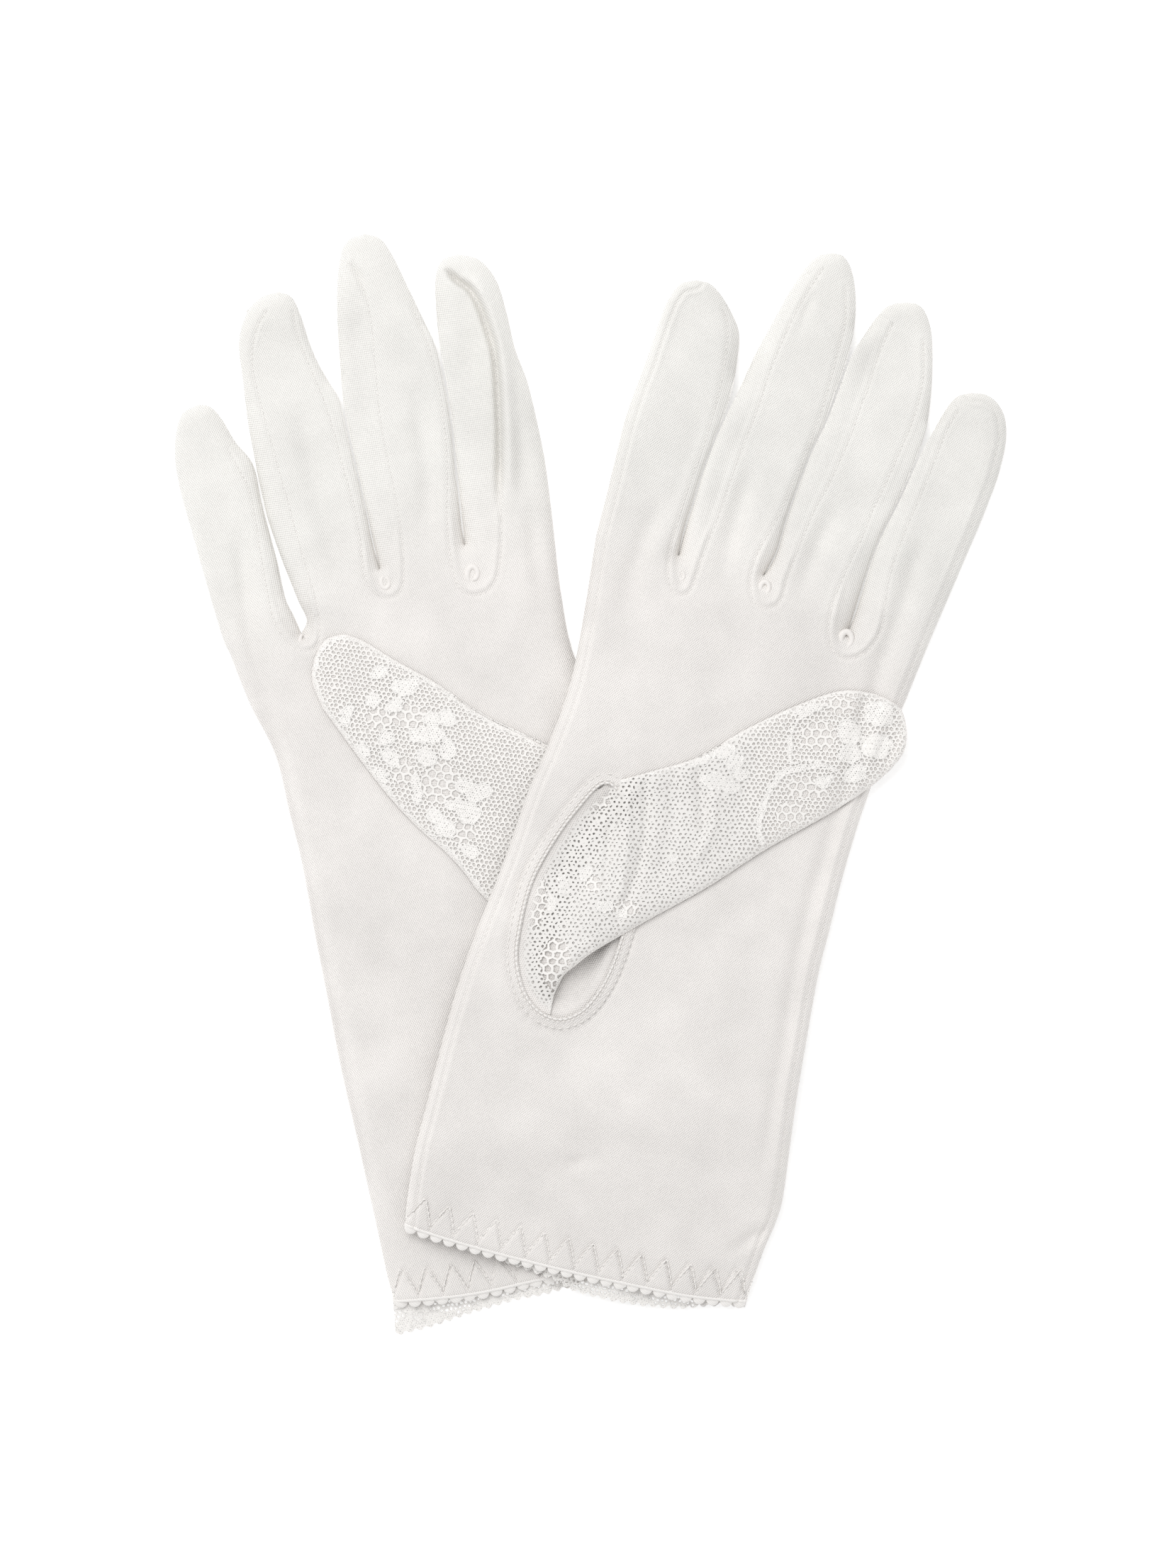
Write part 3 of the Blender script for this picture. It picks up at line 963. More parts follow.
def lace(name="net lace"):
    """Floral net: the net group's holes as alpha, with the motif and coarse fields that the mesh carries."""
    if name in bpy.data.materials:
        return bpy.data.materials[name]
    sizes = bpy.context.scene.glove_sizes
    material, tree, shader = start_material(name)
    uv = add_node(tree, "ShaderNodeUVMap", uv_map="cloth").outputs[0]
    net = add_node(tree, "ShaderNodeGroup", node_tree=net_group())
    tree.links.new(uv, net.inputs["Vector"])
    for key, field in (("Motif", "motif"), ("Coarse", "coarse")):
        value = add_node(tree, "ShaderNodeAttribute", attribute_name=field).outputs["Fac"]
        tree.links.new(value, net.inputs[key])
    net.inputs["Pitch"].default_value = sizes.net_pitch
    net.inputs["Light"].default_value = rgba(sizes.lace_colour)
    net.inputs["Shade"].default_value = rgba(sizes.lace_colour, 0.87)
    bump = add_node(tree, "ShaderNodeBump", [("Height", net.outputs["Height"]), ("Strength", 0.6),
                                             ("Distance", 0.00022)])
    for key, value in (("Base Color", net.outputs["Color"]), ("Alpha", net.outputs["Alpha"]),
                       ("Normal", bump.outputs[0])):
        tree.links.new(value, shader.inputs[key])
    shader.inputs["Roughness"].default_value = 0.8
    shader.inputs["Sheen Weight"].default_value = 0.1
    shader.inputs["Specular IOR Level"].default_value = 0.25
    return material


def cotton(name="sewing thread"):
    """Sewing thread: fine slanting plies from a wave along each piece's own place."""
    if name in bpy.data.materials:
        return bpy.data.materials[name]
    sizes = bpy.context.scene.glove_sizes
    material, tree, shader = start_material(name)
    place = add_node(tree, "ShaderNodeTexCoord").outputs["Object"]
    ply = add_node(tree, "ShaderNodeTexWave", [("Vector", place), ("Scale", 900.0), ("Distortion", 3.0),
                                               ("Detail", 2.0)], bands_direction="DIAGONAL").outputs["Fac"]
    bump = add_node(tree, "ShaderNodeBump", [("Height", ply), ("Strength", 0.4), ("Distance", 0.00008)])
    colour = two_colours(tree, ply, rgba(sizes.thread_colour, 0.9), rgba(sizes.thread_colour))
    tree.links.new(colour, shader.inputs["Base Color"])
    tree.links.new(bump.outputs[0], shader.inputs["Normal"])
    shader.inputs["Roughness"].default_value = 0.7
    shader.inputs["Specular IOR Level"].default_value = 0.3
    return material


# ---------------------------------------------------------------- the lace's pattern
SPRAY_PITCH = 21.0  # from one flower of the backs' lace to the next
NO_DEPTH = -9.0     # the depth where there is no shape near


def ellipse_depth(xy, ellipses):
    """The depth inside the nearest of several ellipses, in millimetres, below nothing outside: one less the
    stretched distance from its middle, times its smaller half."""
    e = np.asarray(ellipses, float)
    if len(e) == 0:
        return np.full(len(xy), NO_DEPTH)
    best = np.full(len(xy), NO_DEPTH)
    for x, y, rx, ry, turn in e:
        c, s = math.cos(math.radians(turn)), math.sin(math.radians(turn))
        dx, dy = xy[:, 0] - x, xy[:, 1] - y
        share = np.hypot((dx * c + dy * s) / rx, (dy * c - dx * s) / ry)
        best = np.maximum(best, (1 - share) * min(rx, ry))
    return best


def sprays(low, high):
    """Flowers of five petals in staggered rows, each with two leaves and a curled stem of beads."""
    rng = np.random.default_rng(3)
    shapes, cores = [], []
    rows = np.arange(math.floor(low[1] / SPRAY_PITCH), math.ceil(high[1] / SPRAY_PITCH) + 1)
    for r in rows:
        for c in np.arange(math.floor(low[0] / SPRAY_PITCH) - 1, math.ceil(high[0] / SPRAY_PITCH) + 1):
            x = (c + 0.5 * (r % 2)) * SPRAY_PITCH + rng.uniform(-1, 1)
            y = r * SPRAY_PITCH * 0.86 + rng.uniform(-1, 1)
            turn = rng.uniform(0, 72)
            for k in range(5):
                a = math.radians(turn + 72 * k)
                shapes.append((x + 3.1 * math.cos(a), y + 3.1 * math.sin(a), 2.4, 1.7, turn + 72 * k))
            for k, a in enumerate((200, 340)):
                b = math.radians(a)
                shapes.append((x + 7.6 * math.cos(b), y + 7.6 * math.sin(b), 3.0, 1.3, a + 25 - 50 * k))
            for k in range(9):
                a = 0.5 + 0.36 * k
                bead = (x + 9.2 * math.cos(a), y + 3 + 7.2 * math.sin(a))
                shapes.append((*bead, 0.95, 0.62, math.degrees(a) + 90))
            cores.append((x, y + 6.4, 3.2, 2.6))
    return shapes, cores


def coarse_field(xy, cores):
    """One inside any of the ellipses whose net is worked wider, and nothing outside."""
    if not len(cores):
        return np.zeros(len(xy))
    return np.clip(0.5 + ellipse_depth(xy, [(*c, 0) for c in cores]) * 1.2, 0, 1)


# ---------------------------------------------------------------- pieces
PALM_COLUMNS = 206


def root_columns(glove, columns):
    """Which column of the hand's panel each finger's root starts at, and the last column."""
    steps = [np.linalg.norm(b - a) for a, b in zip(glove.roots[:-1], glove.roots[1:])]
    return [0, *np.round(np.cumsum(steps) / sum(steps) * (columns - 1)).astype(int)]


def palm_grid(glove, bottom, rows, columns, spans):
    """The hand's panel between its two edges, from a hem to the straight lines between the roots."""
    at = root_columns(glove, columns)
    top = np.stack([np.interp(np.arange(columns), at, glove.roots[:, k]) for k in range(2)], 1)
    left = np.concatenate([bottom[:1], glove.left_edge[4:]])
    right = np.concatenate([bottom[-1:], glove.right_edge[4:]])
    return patch(spline(left, 400), spline(right, 400), spline(bottom, columns), top,
                 closer_steps(rows, spans))


def paleness(glove, xy):
    """How far the cloth's colour has gone from the hand's to the fingers': over 30 mm across the roots."""
    return np.clip(glove.past_roots(xy) / 30 + 0.35, 0, 1)


def make_palm(glove):
    """The knit palm: its panel grid raised to the front's height, with the thumb's hole cut out. Points just
    inside the hole are pulled onto its rim and faces wholly inside are left out."""
    rows, columns = 186, PALM_COLUMNS
    xy = palm_grid(glove, glove.hem, rows, columns, [(0, 0.075, 2.4), (0.76, 1, 2.6)]).reshape(-1, 2)
    inside = within(xy, glove.rim)
    padded = np.pad(inside.reshape(rows, columns), 1)
    shifts = [(i, j) for i in (-1, 0, 1) for j in (-1, 0, 1)]
    around = sum((~padded[1 + i:1 + i + rows, 1 + j:1 + j + columns]).astype(int) for i, j in shifts)
    border = inside & (around.ravel() > 0)
    ring = spline(np.concatenate([glove.rim, glove.rim[:1]]), 900)
    pulled = xy[border]
    nearest = np.concatenate([np.linalg.norm(pulled[i:i + 500, None] - ring, axis=2).argmin(1)
                              for i in range(0, len(pulled), 500)])
    xy[border] = ring[nearest]
    quads = grid_faces(rows, columns)
    quads = quads[~inside[quads].all(1)]
    z = glove.front(xy)
    points, quads, uv = used_only(np.column_stack([xy, z]), quads, turned(xy, glove.p["lean"]))
    side, sizes = glove.side, bpy.context.scene.glove_sizes
    obj = make_piece(f"{side}_palm_cloth", points, quads, knit(), uv,
                     {"pale": paleness(glove, points[:, :2])}, sizes.knit_thickness)
    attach(obj, f"{side}_hand")
    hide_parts(f"{side}_palm_panel", f"{side}_index_side_seam", f"{side}_little_side_seam")
    sewn = ("hem_turning", "point_stitching", "hem_loops", "rim_stitching", "crotch_rolls", "hand_seaming")
    declare_sheet(xy, z, rows, [f"{side}_back_lace"],
                  [bpy.data.objects[f"{side}_{part}"] for part in sewn])


def make_back(glove):
    """The lace back: the panel grid down to its own looped hem, low, and ruffled below the palm."""
    rows, columns = 150, 190
    xy = palm_grid(glove, glove.lace_hem, rows, columns, [(0, 0.13, 3.0)]).reshape(-1, 2)
    along = np.tile(np.linspace(0, length_of(glove.lace_hem), columns), rows).reshape(rows, columns)
    u = np.linspace(0, 1, rows)[:, None]
    edge = np.exp(-((u * rows / 5.0) ** 2))
    way = np.array([math.sin(math.radians(glove.p["lean"])), -math.cos(math.radians(glove.p["lean"]))])
    loops = 0.95 * np.abs(np.sin(np.pi * along / 2.3)) - 0.3
    xy = xy + (edge * loops).reshape(-1, 1) * way
    from_hem, _ = near(xy, glove.hem)
    z = glove.back(xy)
    run = along.ravel()
    ruffle = smooth(1 - from_hem / 16) * (0.5 + 0.5 * np.sin(run / 3.6 + 1.1 * np.sin(run / 7.0)))
    z = z + 0.75 * ruffle
    uv = turned(xy, glove.p["lean"])
    shapes, cores = sprays(uv.min(0), uv.max(0))
    motif = ellipse_depth(uv, shapes)
    d, _ = near(xy, glove.outline)
    hem_gap = (u * length_of(glove.left_edge) * 0.42 * np.ones(columns)).ravel()
    motif = np.maximum(motif, 0.9 - hem_gap)
    motif = np.maximum(motif, 1.6 - d)
    side, sizes = glove.side, bpy.context.scene.glove_sizes
    obj = make_piece(f"{side}_back_lace", np.column_stack([xy, z]), grid_faces(rows, columns, flip=True),
                     lace(), uv, {"motif": motif * MM, "coarse": coarse_field(uv, cores)},
                     sizes.lace_thickness)
    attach(obj, f"{side}_hand")
    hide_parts(f"{side}_back_panel")
    declare_sheet(xy, z, rows, [] if side == "right" else ["right_palm_cloth"])


def finger_grid(glove, name, rows, columns):
    """A finger's face: a Coons patch from its root to the arc over its tip, which starts where each side has
    gone nine tenths of its way. Near the tip its points are evened out between their neighbours."""
    left, right = glove.edges[name]
    turn = int(len(left) * 0.9)
    tip = np.concatenate([left[turn - 1:], right[::-1][1:len(right) - turn + 1]])
    root = np.linspace(left[0], right[0], columns)
    grid = patch(left[:turn], right[:turn], root, spline(tip, columns), closer_steps(rows, [(0.85, 1, 1.8)]))
    for _ in range(12):
        around = (grid[:-2, 1:-1] + grid[2:, 1:-1] + grid[1:-1, :-2] + grid[1:-1, 2:]) / 4
        grid[-30:-1, 1:-1] = around[-29:]
    return grid


def bend_at_root(obj, glove, name):
    """Bends a finger's piece between the hand and the finger, from the far end of its root to 10 mm on."""
    way = glove.finger_way(name)
    i = glove.p["fingers"].index(name)
    start = max((glove.roots[k] @ way) for k in (i, i + 1)) + 0.3
    middle = (glove.roots[i] + glove.roots[i + 1]) / 2
    foot = middle + way * (start - middle @ way)
    a, b = (np.array([*(foot + way * k), 6.0]) * MM for k in (0.0, 10.0))
    f"{glove.side}_hand"
    f"{glove.side}_{name}_finger"
    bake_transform(obj)


def make_finger(glove, name):
    """One finger: its knit front with the strips between the fingers, and its lace back."""
    side, sizes = glove.side, bpy.context.scene.glove_sizes
    i = glove.p["fingers"].index(name)
    at = root_columns(glove, PALM_COLUMNS)
    rows, columns = 170, at[i + 1] - at[i] + 1
    xy = finger_grid(glove, name, rows, columns).reshape(-1, 2)
    z = glove.front(xy)
    uv = turned(xy, glove.p["lean"])
    strip = np.any([within(xy, w) for w in glove.welts], axis=0).astype(float)
    obj = make_piece(f"{side}_{name}_front", np.column_stack([xy, z]), grid_faces(rows, columns), knit(), uv,
                     {"pale": paleness(glove, xy), "strip": strip}, sizes.knit_thickness)
    declare_sheet(xy, z, rows, [f"{side}_{name}_lace"])
    bend_at_root(obj, glove, name)
    parts = ("palm_face", "thumb_side_wall", "little_side_wall")
    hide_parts(*(f"{side}_{name}_{part}" for part in parts))

    rows, columns = 90, 40
    xy = finger_grid(glove, name, rows, columns).reshape(-1, 2)
    z = glove.back(xy)
    uv = turned(xy, glove.p["lean"])
    shapes, cores = sprays(uv.min(0), uv.max(0))
    d, _ = near(xy, glove.outline)
    motif = np.maximum(ellipse_depth(uv, shapes), 1.4 - d)
    obj = make_piece(f"{side}_{name}_lace", np.column_stack([xy, z]), grid_faces(rows, columns, flip=True),
                     lace(), uv, {"motif": motif * MM, "coarse": coarse_field(uv, cores)},
                     sizes.lace_thickness)
    declare_sheet(xy, z, rows, [])
    bend_at_root(obj, glove, name)
    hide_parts(f"{side}_{name}_lace_face")


def thumb_grid(side, rows, columns, shrink=0.0):
    """The folded thumb's half: a Coons patch from its root, tucked 1 mm under the rim, to its tip, drawn in
    a little for the inner."""
    t = THUMBS[side]
    root, tip = spline(t["root"], columns), spline(t["tip"], columns)
    share = np.linspace(0, 1, columns)[:, None]
    root = root + (beside(root, t["side"]) - root) * smooth(share / 0.07) * smooth((1 - share) / 0.07)
    grid = patch(spline(t["top"], 300), spline(t["bottom"], 300), root, tip, np.linspace(0, 1, rows))
    middle = grid.mean(axis=1, keepdims=True)
    return grid + (middle - grid) * shrink


def bend_thumb(obj, side):
    """Bends a layer of the thumb between the hand and the thumb across its joint's line."""
    joint = next(j for j in frame["joints"] if j["child"] == f"{side}_thumb")
    at, axis = np.array(joint["pos_m"], float) / MM, np.array(joint["axis"], float)
    way = np.array([-axis[1], axis[0], 0.0])
    tip = np.array([*THUMBS[side]["tip"][2], 0.0])
    way *= np.sign((tip - at) @ way)
    start, end = (tuple((at + way * run) * MM) for run in THUMBS[side]["bend"])
    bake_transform(obj)


def make_thumb(glove):
    """The thumb folded over the palm: lace outside, knit inside, and a knit gusset in the hole."""
    side, t, sizes = glove.side, THUMBS[glove.side], bpy.context.scene.glove_sizes
    tip_way = np.subtract(t["tip"][2], t["root"][len(t["root"]) // 2])
    lean = math.degrees(math.atan2(-tip_way[0], tip_way[1]))
    rows, columns = 230, 100
    xy = thumb_grid(side, rows, columns).reshape(-1, 2)
    flip = side == "right"
    z = glove.thumb(xy, 1)
    free = np.concatenate([spline(t["top"], 80), spline(t["tip"], 40)[1:],
                           spline(t["bottom"], 80)[::-1][1:]])
    d, along = near(xy, free)
    wobble = 0.35 * np.sin(along / 1.3) + 0.25 * np.sin(along / 0.53)
    motif = np.maximum(ellipse_depth(xy, t["petals"]), t["hem"] - d + 0.25 * wobble)
    for line, width in t["cords"]:
        gap, _ = near(xy, spline(line, 60))
        motif = np.maximum(motif, width - gap)
    if t["dense"]:
        motif = np.maximum(motif, ellipse_depth(xy, [(*e, 0) for e in t["dense"]]))
    closer = -smooth((t["close_to"] - xy[:, 0]) / 12) * (coarse_field(xy, t["coarse"]) < 0.5)
    fields = {"motif": motif * MM, "coarse": coarse_field(xy, t["coarse"]) + closer}
    outer = make_piece(f"{side}_thumb_outer", np.column_stack([xy, z]), grid_faces(rows, columns, flip=flip),
                       lace(), turned(xy, lean), fields, sizes.lace_thickness)
    declare_sheet(xy, z, rows, [f"{side}_palm_cloth"])
    bend_thumb(outer, side)
    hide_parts(f"{side}_thumb_lace", f"{side}_thumb_seam")

    rows, columns = 120, 50
    xy = thumb_grid(side, rows, columns, 0.012).reshape(-1, 2)
    from_root, _ = near(xy, spline(t["root"], 60))
    z = glove.thumb(xy, LINING_RISE) - 0.1 - 0.5 * smooth(from_root / 4) * (1 - smooth((from_root - 4) / 8))
    inner = make_piece(f"{side}_thumb_inner", np.column_stack([xy, z]),
                       grid_faces(rows, columns, flip=not flip), knit("thumb cloth", fold=1.03),
                       turned(xy, lean), thickness=sizes.knit_thickness * TURNING)
    declare_sheet(xy, z, rows, [f"{side}_palm_cloth"])
    bend_thumb(inner, side)
    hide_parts(f"{side}_thumb_lining")

    rings, ring = 16, glove.rim
    middle = ring.mean(0)
    share = np.linspace(1.03, 0.04, rings)[:, None, None]
    xy = (middle + share * (ring - middle)[None]).reshape(-1, 2)
    xy = np.concatenate([xy, middle[None]])
    gap, _ = near(xy, ring, closed=True)
    inside = within(xy, ring)
    z = glove.front(xy, details=False) - 0.6 - np.where(inside, 3.0 * smooth(gap / 5), 0)
    z = z + np.where(inside, 0.35 * np.exp(-(((gap - 1.7) / 0.45) ** 2)), 0)
    n = len(ring)
    i = np.arange(rings * n).reshape(rings, n)
    j = np.roll(i, -1, axis=1)
    way = np.cross(ring[1] - ring[0], middle - ring[0])
    quads = np.stack([i[:-1], j[:-1], j[1:], i[1:]], -1).reshape(-1, 4).tolist()
    quads += [[a, b, rings * n] for a, b in zip(i[-1].tolist(), j[-1].tolist())]
    if way < 0:
        quads = [q[::-1] for q in quads]
    gusset = make_piece(f"{side}_thumb_gusset", np.column_stack([xy, z]), quads, knit(), turned(xy, lean),
                        thickness=sizes.knit_thickness * TURNING)
    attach(gusset, f"{side}_hand")
    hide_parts(f"{side}_thumb_root")
    whole = np.column_stack([xy[:-1], z[:-1]]).reshape(rings, n, 3)
    one, two = whole[1:, 1:] - whole[:-1, :-1], whole[1:, :-1] - whole[:-1, 1:]
    area = np.linalg.norm(np.cross(one, two), axis=2).sum() / 2 * MM * MM


# Each stitch's pitch, length and radius, after how far in from the rim its row is for the rim's three rows.
WELT_STITCH = (1.25, 0.75, 0.1)
EDGE_STITCH = (1.6, 0.8, 0.09)
POINT_STITCH = (1.3, 0.9, 0.19)
RIM_ROWS = ((0.35, 1.15, 1.25, 0.26), (0.95, 1.15, 1.0, 0.17), (2.3, 1.7, 1.05, 0.15))
STITCH_LIFT = 0.02  # how high above the cloth a row of stitches starts


def sewn_piece(name, parts, material):
    """Joins sewn parts into one piece."""
    points, faces = gather(parts)
    obj = make_piece(name, points, faces, material)
    return obj


def beside(line, offset, closed=False):
    """A level line moved sideways to its right, along the square of its direction at each point."""
    way = (np.roll(line, -1, 0) - np.roll(line, 1, 0)) if closed else np.gradient(line, axis=0)
    way /= np.maximum(np.linalg.norm(way, axis=1, keepdims=True), 1e-9)
    return line + offset * np.stack([way[:, 1], -way[:, 0]], 1)


def make_rim(glove):
    """The thumb hole's rim: two rows of close stitches on its edge and one that holds the turning."""
    ring = spline(np.concatenate([glove.rim, glove.rim[:1]]), 320)
    outward = 1 if within(beside(ring, 0.5)[:1], glove.rim)[0] else -1
    parts = []
    for inset, *stitch in RIM_ROWS:
        path, up = over(glove, beside(ring, -outward * inset), STITCH_LIFT)
        parts.append(stitches(path, up, *stitch))
    obj = sewn_piece(f"{glove.side}_rim_stitching", parts, cotton())
    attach(obj, f"{glove.side}_hand")
    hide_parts(f"{glove.side}_thumb_hole_seam")


def make_crotches(glove):
    """The quirks: at each slit's foot a small curl of turned cloth, wound inwards as a flat spiral."""
    parts = []
    for x, y, size, hand in glove.p["rolls"]:
        middle = np.array([x, y])
        t = np.linspace(0, 1, 40)
        turn = hand * (0.3 + 0.95 * t) * 2 * np.pi
        r = size * (0.85 - 0.4 * t)
        curl = middle + np.stack([0.8 * r * np.cos(turn), 1.15 * r * np.sin(turn)], 1)
        path, _ = over(glove, curl)
        path[:, 2] = glove.front(middle[None])[0] - 0.3 + 0.25 * t
        parts.append(thread(path, 0.36 * size * (1 - 0.35 * t) * np.sqrt(np.minimum(t * 5 + 0.04, 1)), 10))
    obj = sewn_piece(f"{glove.side}_crotch_rolls", parts, knit("quirk cloth", fold=0.86))
    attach(obj, f"{glove.side}_hand")
    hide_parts(f"{glove.side}_crotch_quirks")


def make_seaming(glove):
    """The tiny stitches down every welt: those past a finger's root bend with it, the rest don't."""
    hand = []
    for i, name in enumerate(glove.p["fingers"]):
        way = glove.finger_way(name)
        limit = max((glove.roots[k] @ way) for k in (i, i + 1)) + 0.3
        parts = []
        for k, half in ((i - 1, "second"), (i, "first")):
            if not 0 <= k < len(glove.welts):
                continue
            line = glove.welts[k]
            turn = int(np.argmin(line @ way))
            arm = line[turn:] if half == "second" else line[:turn + 1]
            past = arm @ way > limit
            for keep, bag in ((past, parts), (~past, hand)):
                if keep.sum() > 3:
                    path, up = over(glove, arm[keep], STITCH_LIFT)
                    bag.append(stitches(path, up, *WELT_STITCH))
        for inset, which in glove.p["edge_seams"]:
            edge = 0 if which == "left" else len(glove.p["fingers"]) - 1
            if edge == i:
                side = glove.edges[name][0 if which == "left" else 1]
                arm = beside(side, inset if which == "left" else -inset)[:-30]
                arm = arm[arm @ way > limit]
                path, up = over(glove, arm[within(arm, glove.outline)], STITCH_LIFT)
                parts.append(stitches(path, up, *EDGE_STITCH))
        obj = sewn_piece(f"{glove.side}_{name}_seaming", parts, cotton())
        bend_at_root(obj, glove, name)
    for inset, which in glove.p["edge_seams"]:
        side = glove.left_edge if which == "left" else glove.right_edge
        path, up = over(glove, beside(side, inset if which == "left" else -inset)[6:-4], STITCH_LIFT)
        hand.append(stitches(path, up, *EDGE_STITCH))
    obj = sewn_piece(f"{glove.side}_hand_seaming", hand, cotton())
    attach(obj, f"{glove.side}_hand")


def make_hem(glove):
    """The hem: its turned-up band inside, the pointed thread that holds it, a corded edge and the picot
    loops. Each loop is a small scallop of picot_rows by picot_columns points."""
    side, sizes = glove.side, bpy.context.scene.glove_sizes
    hem = spline(glove.hem, 420)
    total = length_of(hem)
    lean = math.radians(glove.p["lean"])
    inward = np.array([-math.sin(lean), math.cos(lean)])

    rows, columns = 9, 140
    line = spline(hem, columns)[2:-2]
    columns = len(line)
    depth = np.linspace(0.2, sizes.hem_depth / MM, rows)[:, None, None]
    grid = line[None] + depth * inward
    xy = grid.reshape(-1, 2)
    z = glove.front(xy, details=False) - 0.75
    band = make_piece(f"{side}_hem_turning", np.column_stack([xy, z]), grid_faces(rows, columns, flip=True),
                      knit(), turned(xy, glove.p["lean"]), thickness=sizes.knit_thickness * TURNING)
    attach(band, f"{side}_hand")
    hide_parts(f"{side}_hem_band")

    along = np.linspace(0.8, total - 0.8, int(total * 3.2))
    at = np.linspace(0, total, len(hem))
    foot = np.stack([np.interp(along, at, hem[:, k]) for k in range(2)], 1)
    path, up = over(glove, foot + glove.point_line(along)[:, None] * inward, 0.08)
    pointed = sewn_piece(f"{side}_point_stitching",
                         [thread(path, 0.13, 5), stitches(path, up, *POINT_STITCH)], cotton())
    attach(pointed, f"{side}_hand")
    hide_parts(f"{side}_hem_stitching")

    pitch = sizes.loop_pitch / MM
    count = int(total / pitch)
    middle = (np.arange(count) + 0.5) * total / count
    c = np.stack([np.interp(middle, at, hem[:, k]) for k in range(2)], 1)
    ahead = np.stack([np.interp(middle + 0.2, at, hem[:, k]) for k in range(2)], 1) - c
    ahead /= np.linalg.norm(ahead, axis=1, keepdims=True)
    out = np.stack([ahead[:, 1], -ahead[:, 0]], 1)
    picot_rows, picot_columns = 6, 9
    t, a = np.meshgrid(np.linspace(-1, 1, picot_columns), np.linspace(-0.25, 0.5 * np.pi * 0.98, picot_rows))
    r, deep = pitch * 0.5, pitch * 0.56
    across, down = (t * r * np.cos(a))[None, ..., None], (deep * np.sin(a))[None, ..., None]
    xy = c[:, None, None] + across * ahead[:, None, None] + down * out[:, None, None]
    level = glove.front(c, details=False)[:, None, None] - 0.45
    z = level + (0.34 * (1 - t**2) * np.cos(a) - 0.32 * np.clip(np.sin(a), 0, 1))[None]
    points = np.concatenate([xy, z[..., None]], -1).reshape(-1, 3)
    block = grid_faces(picot_rows, picot_columns, flip=True)
    faces = (block[None] + picot_rows * picot_columns * np.arange(count)[:, None, None]).reshape(-1, 4)
    cord, _ = over(glove, beside(hem, -0.05)[1:-1], -0.25)
    parts = [(points, faces.tolist()), thread(cord, 0.24, 8)]
    picots = sewn_piece(f"{side}_hem_loops", parts, cotton())
    wall = picots.modifiers.new("wall", "SOLIDIFY")
    wall.thickness, wall.offset = sizes.lace_thickness, -1
    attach(picots, f"{side}_hand")
    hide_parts(f"{side}_picot_edging")


# ---------------------------------------------------------------- the table, the light and the camera
TABLE_HALF = 4.0                  # metres, like all the places below
LAMP_PLACE, LAMP_SIZE = (-0.35, 0.48, 1.04), 0.8
SENSOR = 36.0                     # millimetres
VIEW_HEIGHT = 0.3539              # how much of the table the picture's longer side takes in
VIEW_MIDDLE = (-0.0008, 0.00024)


def make_stage():
    """A plain pale table top, an even sky, one soft light beyond the fingertips and the camera."""
    sizes = bpy.context.scene.glove_sizes
    scene = bpy.context.scene
    scene.view_settings.view_transform = "Standard"
    corners = [(x * TABLE_HALF, y * TABLE_HALF, 0) for x, y in ((-1, -1), (1, -1), (1, 1), (-1, 1))]
    mesh = bpy.data.meshes.new("table_top")
    mesh.from_pydata(corners, [], [(0, 1, 2, 3)])
    table = bpy.data.objects.new("table_top", mesh)
    scene.collection.objects.link(table)
    material, tree, shader = start_material("table paper")
    place = add_node(tree, "ShaderNodeTexCoord").outputs["Object"]
    grain = add_node(tree, "ShaderNodeTexNoise", [("Vector", place), ("Scale", 30.0),
                                                  ("Detail", 3.0)]).outputs[0]
    tree.links.new(two_colours(tree, grain, (0.93, 0.93, 0.93, 1), (0.95, 0.95, 0.95, 1)),
                   shader.inputs["Base Color"])
    shader.inputs["Roughness"].default_value = 0.9
    shader.inputs["Specular IOR Level"].default_value = 0.1
    shader.inputs["Emission Color"].default_value = (1, 1, 1, 1)
    shader.inputs["Emission Strength"].default_value = sizes.table_glow
    mesh.materials.append(material)

    world = bpy.data.worlds.new("even sky")
    scene.world = world
    world.use_nodes = True
    sky = world.node_tree.nodes["Background"]
    sky.inputs["Color"].default_value = (1, 1, 1, 1)
    sky.inputs["Strength"].default_value = sizes.sky_strength
    lamp = bpy.data.lights.new("window", "AREA")
    lamp.shape, lamp.size, lamp.energy = "SQUARE", LAMP_SIZE, sizes.light_power
    light = bpy.data.objects.new("window", lamp)
    light.location = LAMP_PLACE
    away = np.array(LAMP_PLACE) / np.linalg.norm(LAMP_PLACE)
    light.rotation_euler = (math.acos(away[2]), 0, math.atan2(away[1], away[0]) + math.pi / 2)
    scene.collection.objects.link(light)

    lens = bpy.data.cameras.new("overhead")
    lens.sensor_width, lens.lens = SENSOR, SENSOR * sizes.camera_height / VIEW_HEIGHT
    lens.clip_start, lens.clip_end = 0.01, 20
    camera = bpy.data.objects.new("overhead", lens)
    camera.location = (*VIEW_MIDDLE, sizes.camera_height)
    scene.collection.objects.link(camera)
    scene.camera = camera


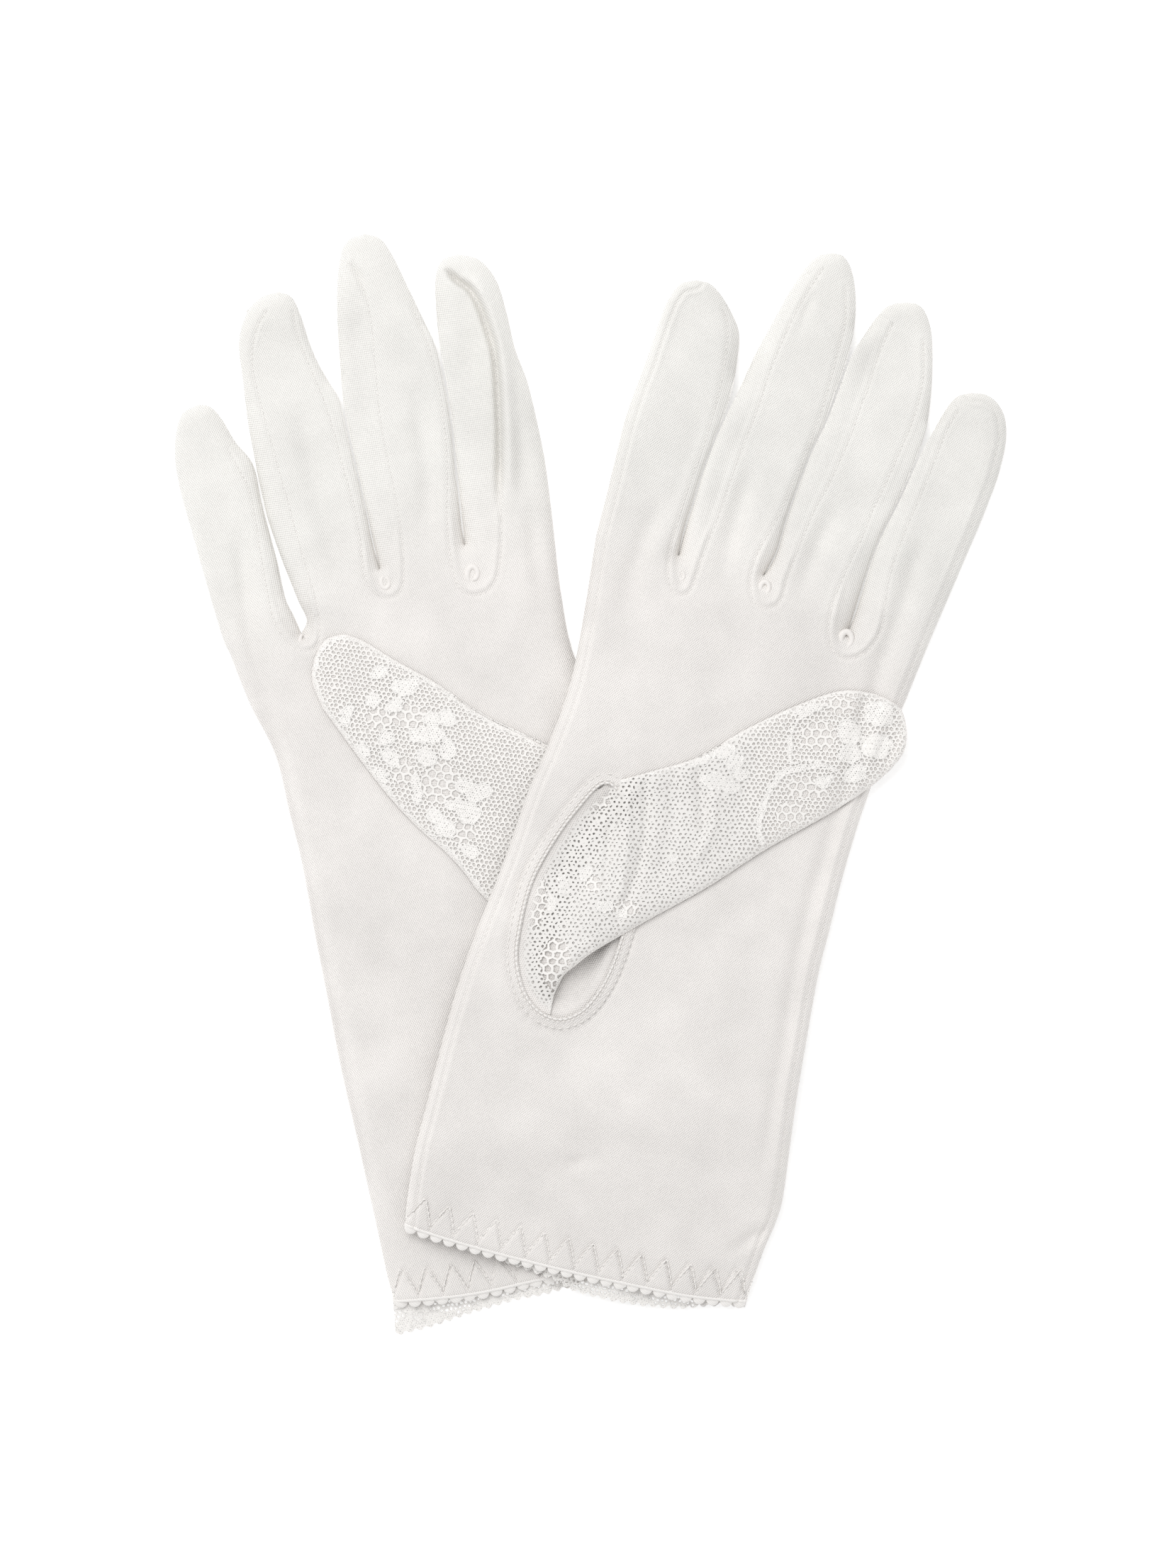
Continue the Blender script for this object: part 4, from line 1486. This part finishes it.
# ---------------------------------------------------------------- the add-on
class GloveSizes(bpy.types.PropertyGroup):
    """What a maker may change: the cloths, the hem's measures, the colours and the light."""

    knit_thickness: FloatProperty(name="Knit thickness", description="Thickness of the knit cloth",
                                  default=0.00035, min=0.0001, unit="LENGTH")
    lace_thickness: FloatProperty(name="Lace thickness", description="Thickness of the lace",
                                  default=0.00022, min=0.0001, unit="LENGTH")
    weave_pitch: FloatProperty(name="Weave pitch", description="From one stitch of the knit to the next",
                               default=0.00052, min=0.0001, unit="LENGTH")
    net_pitch: FloatProperty(name="Net pitch", description="From one opening of the lace to the next",
                             default=0.00105, min=0.0002, unit="LENGTH")
    hem_depth: FloatProperty(name="Hem depth", description="How far the palm's hem is turned up",
                             default=0.0082, min=0.001, unit="LENGTH")
    point_pitch: FloatProperty(name="Point pitch",
                               description="From one point of the hem's stitching to the next",
                               default=0.0056, min=0.001, unit="LENGTH")
    point_rise: FloatProperty(name="Point rise", description="Height of the hem's points above its edge",
                              default=0.0074, min=0.001, unit="LENGTH")
    loop_pitch: FloatProperty(name="Loop pitch", description="From one picot loop to the next",
                              default=0.003, min=0.001, unit="LENGTH")
    knit_colour: FloatVectorProperty(name="Knit colour", description="Colour of the knit cloth",
                                     subtype="COLOR", size=3, min=0, max=1, default=(0.965, 0.931, 0.902))
    finger_colour: FloatVectorProperty(name="Finger colour",
                                       description="Colour of the knit where it is least worn, "
                                       "on the fingers", subtype="COLOR", size=3, min=0, max=1,
                                       default=(0.965, 0.949, 0.914))
    lace_colour: FloatVectorProperty(name="Lace colour", description="Colour of the lace", subtype="COLOR",
                                     size=3, min=0, max=1, default=(0.905, 0.883, 0.857))
    thread_colour: FloatVectorProperty(name="Thread colour", description="Colour of the sewing thread",
                                       subtype="COLOR", size=3, min=0, max=1, default=(0.9, 0.876, 0.852))
    sky_strength: FloatProperty(name="Sky strength", description="Brightness of the even sky", default=0.72,
                                min=0)
    light_power: FloatProperty(name="Light power", description="Power of the wide soft light", default=7.4,
                               min=0, unit="POWER")
    table_glow: FloatProperty(name="Table glow", description="Light that the table top gives off",
                              default=0.32, min=0)
    camera_height: FloatProperty(name="Camera height", description="Height of the camera above the table",
                                 default=1.2, min=0.2, unit="LENGTH")


class GLOVES_OT_stage(bpy.types.Operator):
    """Lay out the table top, the light and the camera"""

    bl_idname = "gloves.stage"
    bl_label = "Table, light and camera"

    def execute(self, context):
        make_stage()
        return {"FINISHED"}


class GLOVES_OT_backs(bpy.types.Operator):
    """Make the lace back of each hand"""

    bl_idname = "gloves.backs"
    bl_label = "Lace backs"

    def execute(self, context):
        for glove in gloves().values():
            make_back(glove)
        return {"FINISHED"}


class GLOVES_OT_palms(bpy.types.Operator):
    """Make the knit palm of each hand, with its thumb hole, after the pieces sewn to it"""

    bl_idname = "gloves.palms"
    bl_label = "Knit palms"

    def execute(self, context):
        for glove in gloves().values():
            make_palm(glove)
        return {"FINISHED"}


class GLOVES_OT_fingers(bpy.types.Operator):
    """Make the four fingers of each hand"""

    bl_idname = "gloves.fingers"
    bl_label = "Fingers"

    def execute(self, context):
        for glove in gloves().values():
            for name in glove.p["fingers"]:
                make_finger(glove, name)
        return {"FINISHED"}


class GLOVES_OT_thumbs(bpy.types.Operator):
    """Make the folded thumb of each hand"""

    bl_idname = "gloves.thumbs"
    bl_label = "Thumbs"

    def execute(self, context):
        for glove in gloves().values():
            make_thumb(glove)
        return {"FINISHED"}


class GLOVES_OT_seams(bpy.types.Operator):
    """Sew the thumb holes' rims, the quirks and the welts of the fingers"""

    bl_idname = "gloves.seams"
    bl_label = "Seams and quirks"

    def execute(self, context):
        for glove in gloves().values():
            make_rim(glove)
            make_crotches(glove)
            make_seaming(glove)
        return {"FINISHED"}


class GLOVES_OT_hems(bpy.types.Operator):
    """Sew each palm's hem with its points and picot loops"""

    bl_idname = "gloves.hems"
    bl_label = "Hems"

    def execute(self, context):
        for glove in gloves().values():
            make_hem(glove)
        return {"FINISHED"}


STEPS = (GLOVES_OT_stage, GLOVES_OT_backs, GLOVES_OT_hems, GLOVES_OT_seams, GLOVES_OT_palms,
         GLOVES_OT_fingers, GLOVES_OT_thumbs)


class GLOVES_PT_panel(bpy.types.Panel):
    """Sizes and colours of the gloves, and the steps that build them"""

    bl_idname = "GLOVES_PT_panel"
    bl_label = "Lace gloves"
    bl_space_type = "VIEW_3D"
    bl_region_type = "UI"
    bl_category = "Gloves"

    def draw(self, context):
        for name in GloveSizes.__annotations__:
            self.layout.prop(context.scene.glove_sizes, name)
        for step in STEPS:
            self.layout.operator(step.bl_idname)


CLASSES = (GloveSizes, *STEPS, GLOVES_PT_panel)


def register():
    for cls in CLASSES:
        bpy.utils.register_class(cls)
    bpy.types.Scene.glove_sizes = PointerProperty(type=GloveSizes)


def unregister():
    del bpy.types.Scene.glove_sizes
    for cls in reversed(CLASSES):
        bpy.utils.unregister_class(cls)


def main():
    """Builds everything in order."""
    register()
    bpy.ops.gloves.stage()
    bpy.ops.gloves.backs()
    bpy.ops.gloves.hems()
    bpy.ops.gloves.seams()
    bpy.ops.gloves.palms()
    bpy.ops.gloves.fingers()
    bpy.ops.gloves.thumbs()


if __name__ == "__main__":
    main()
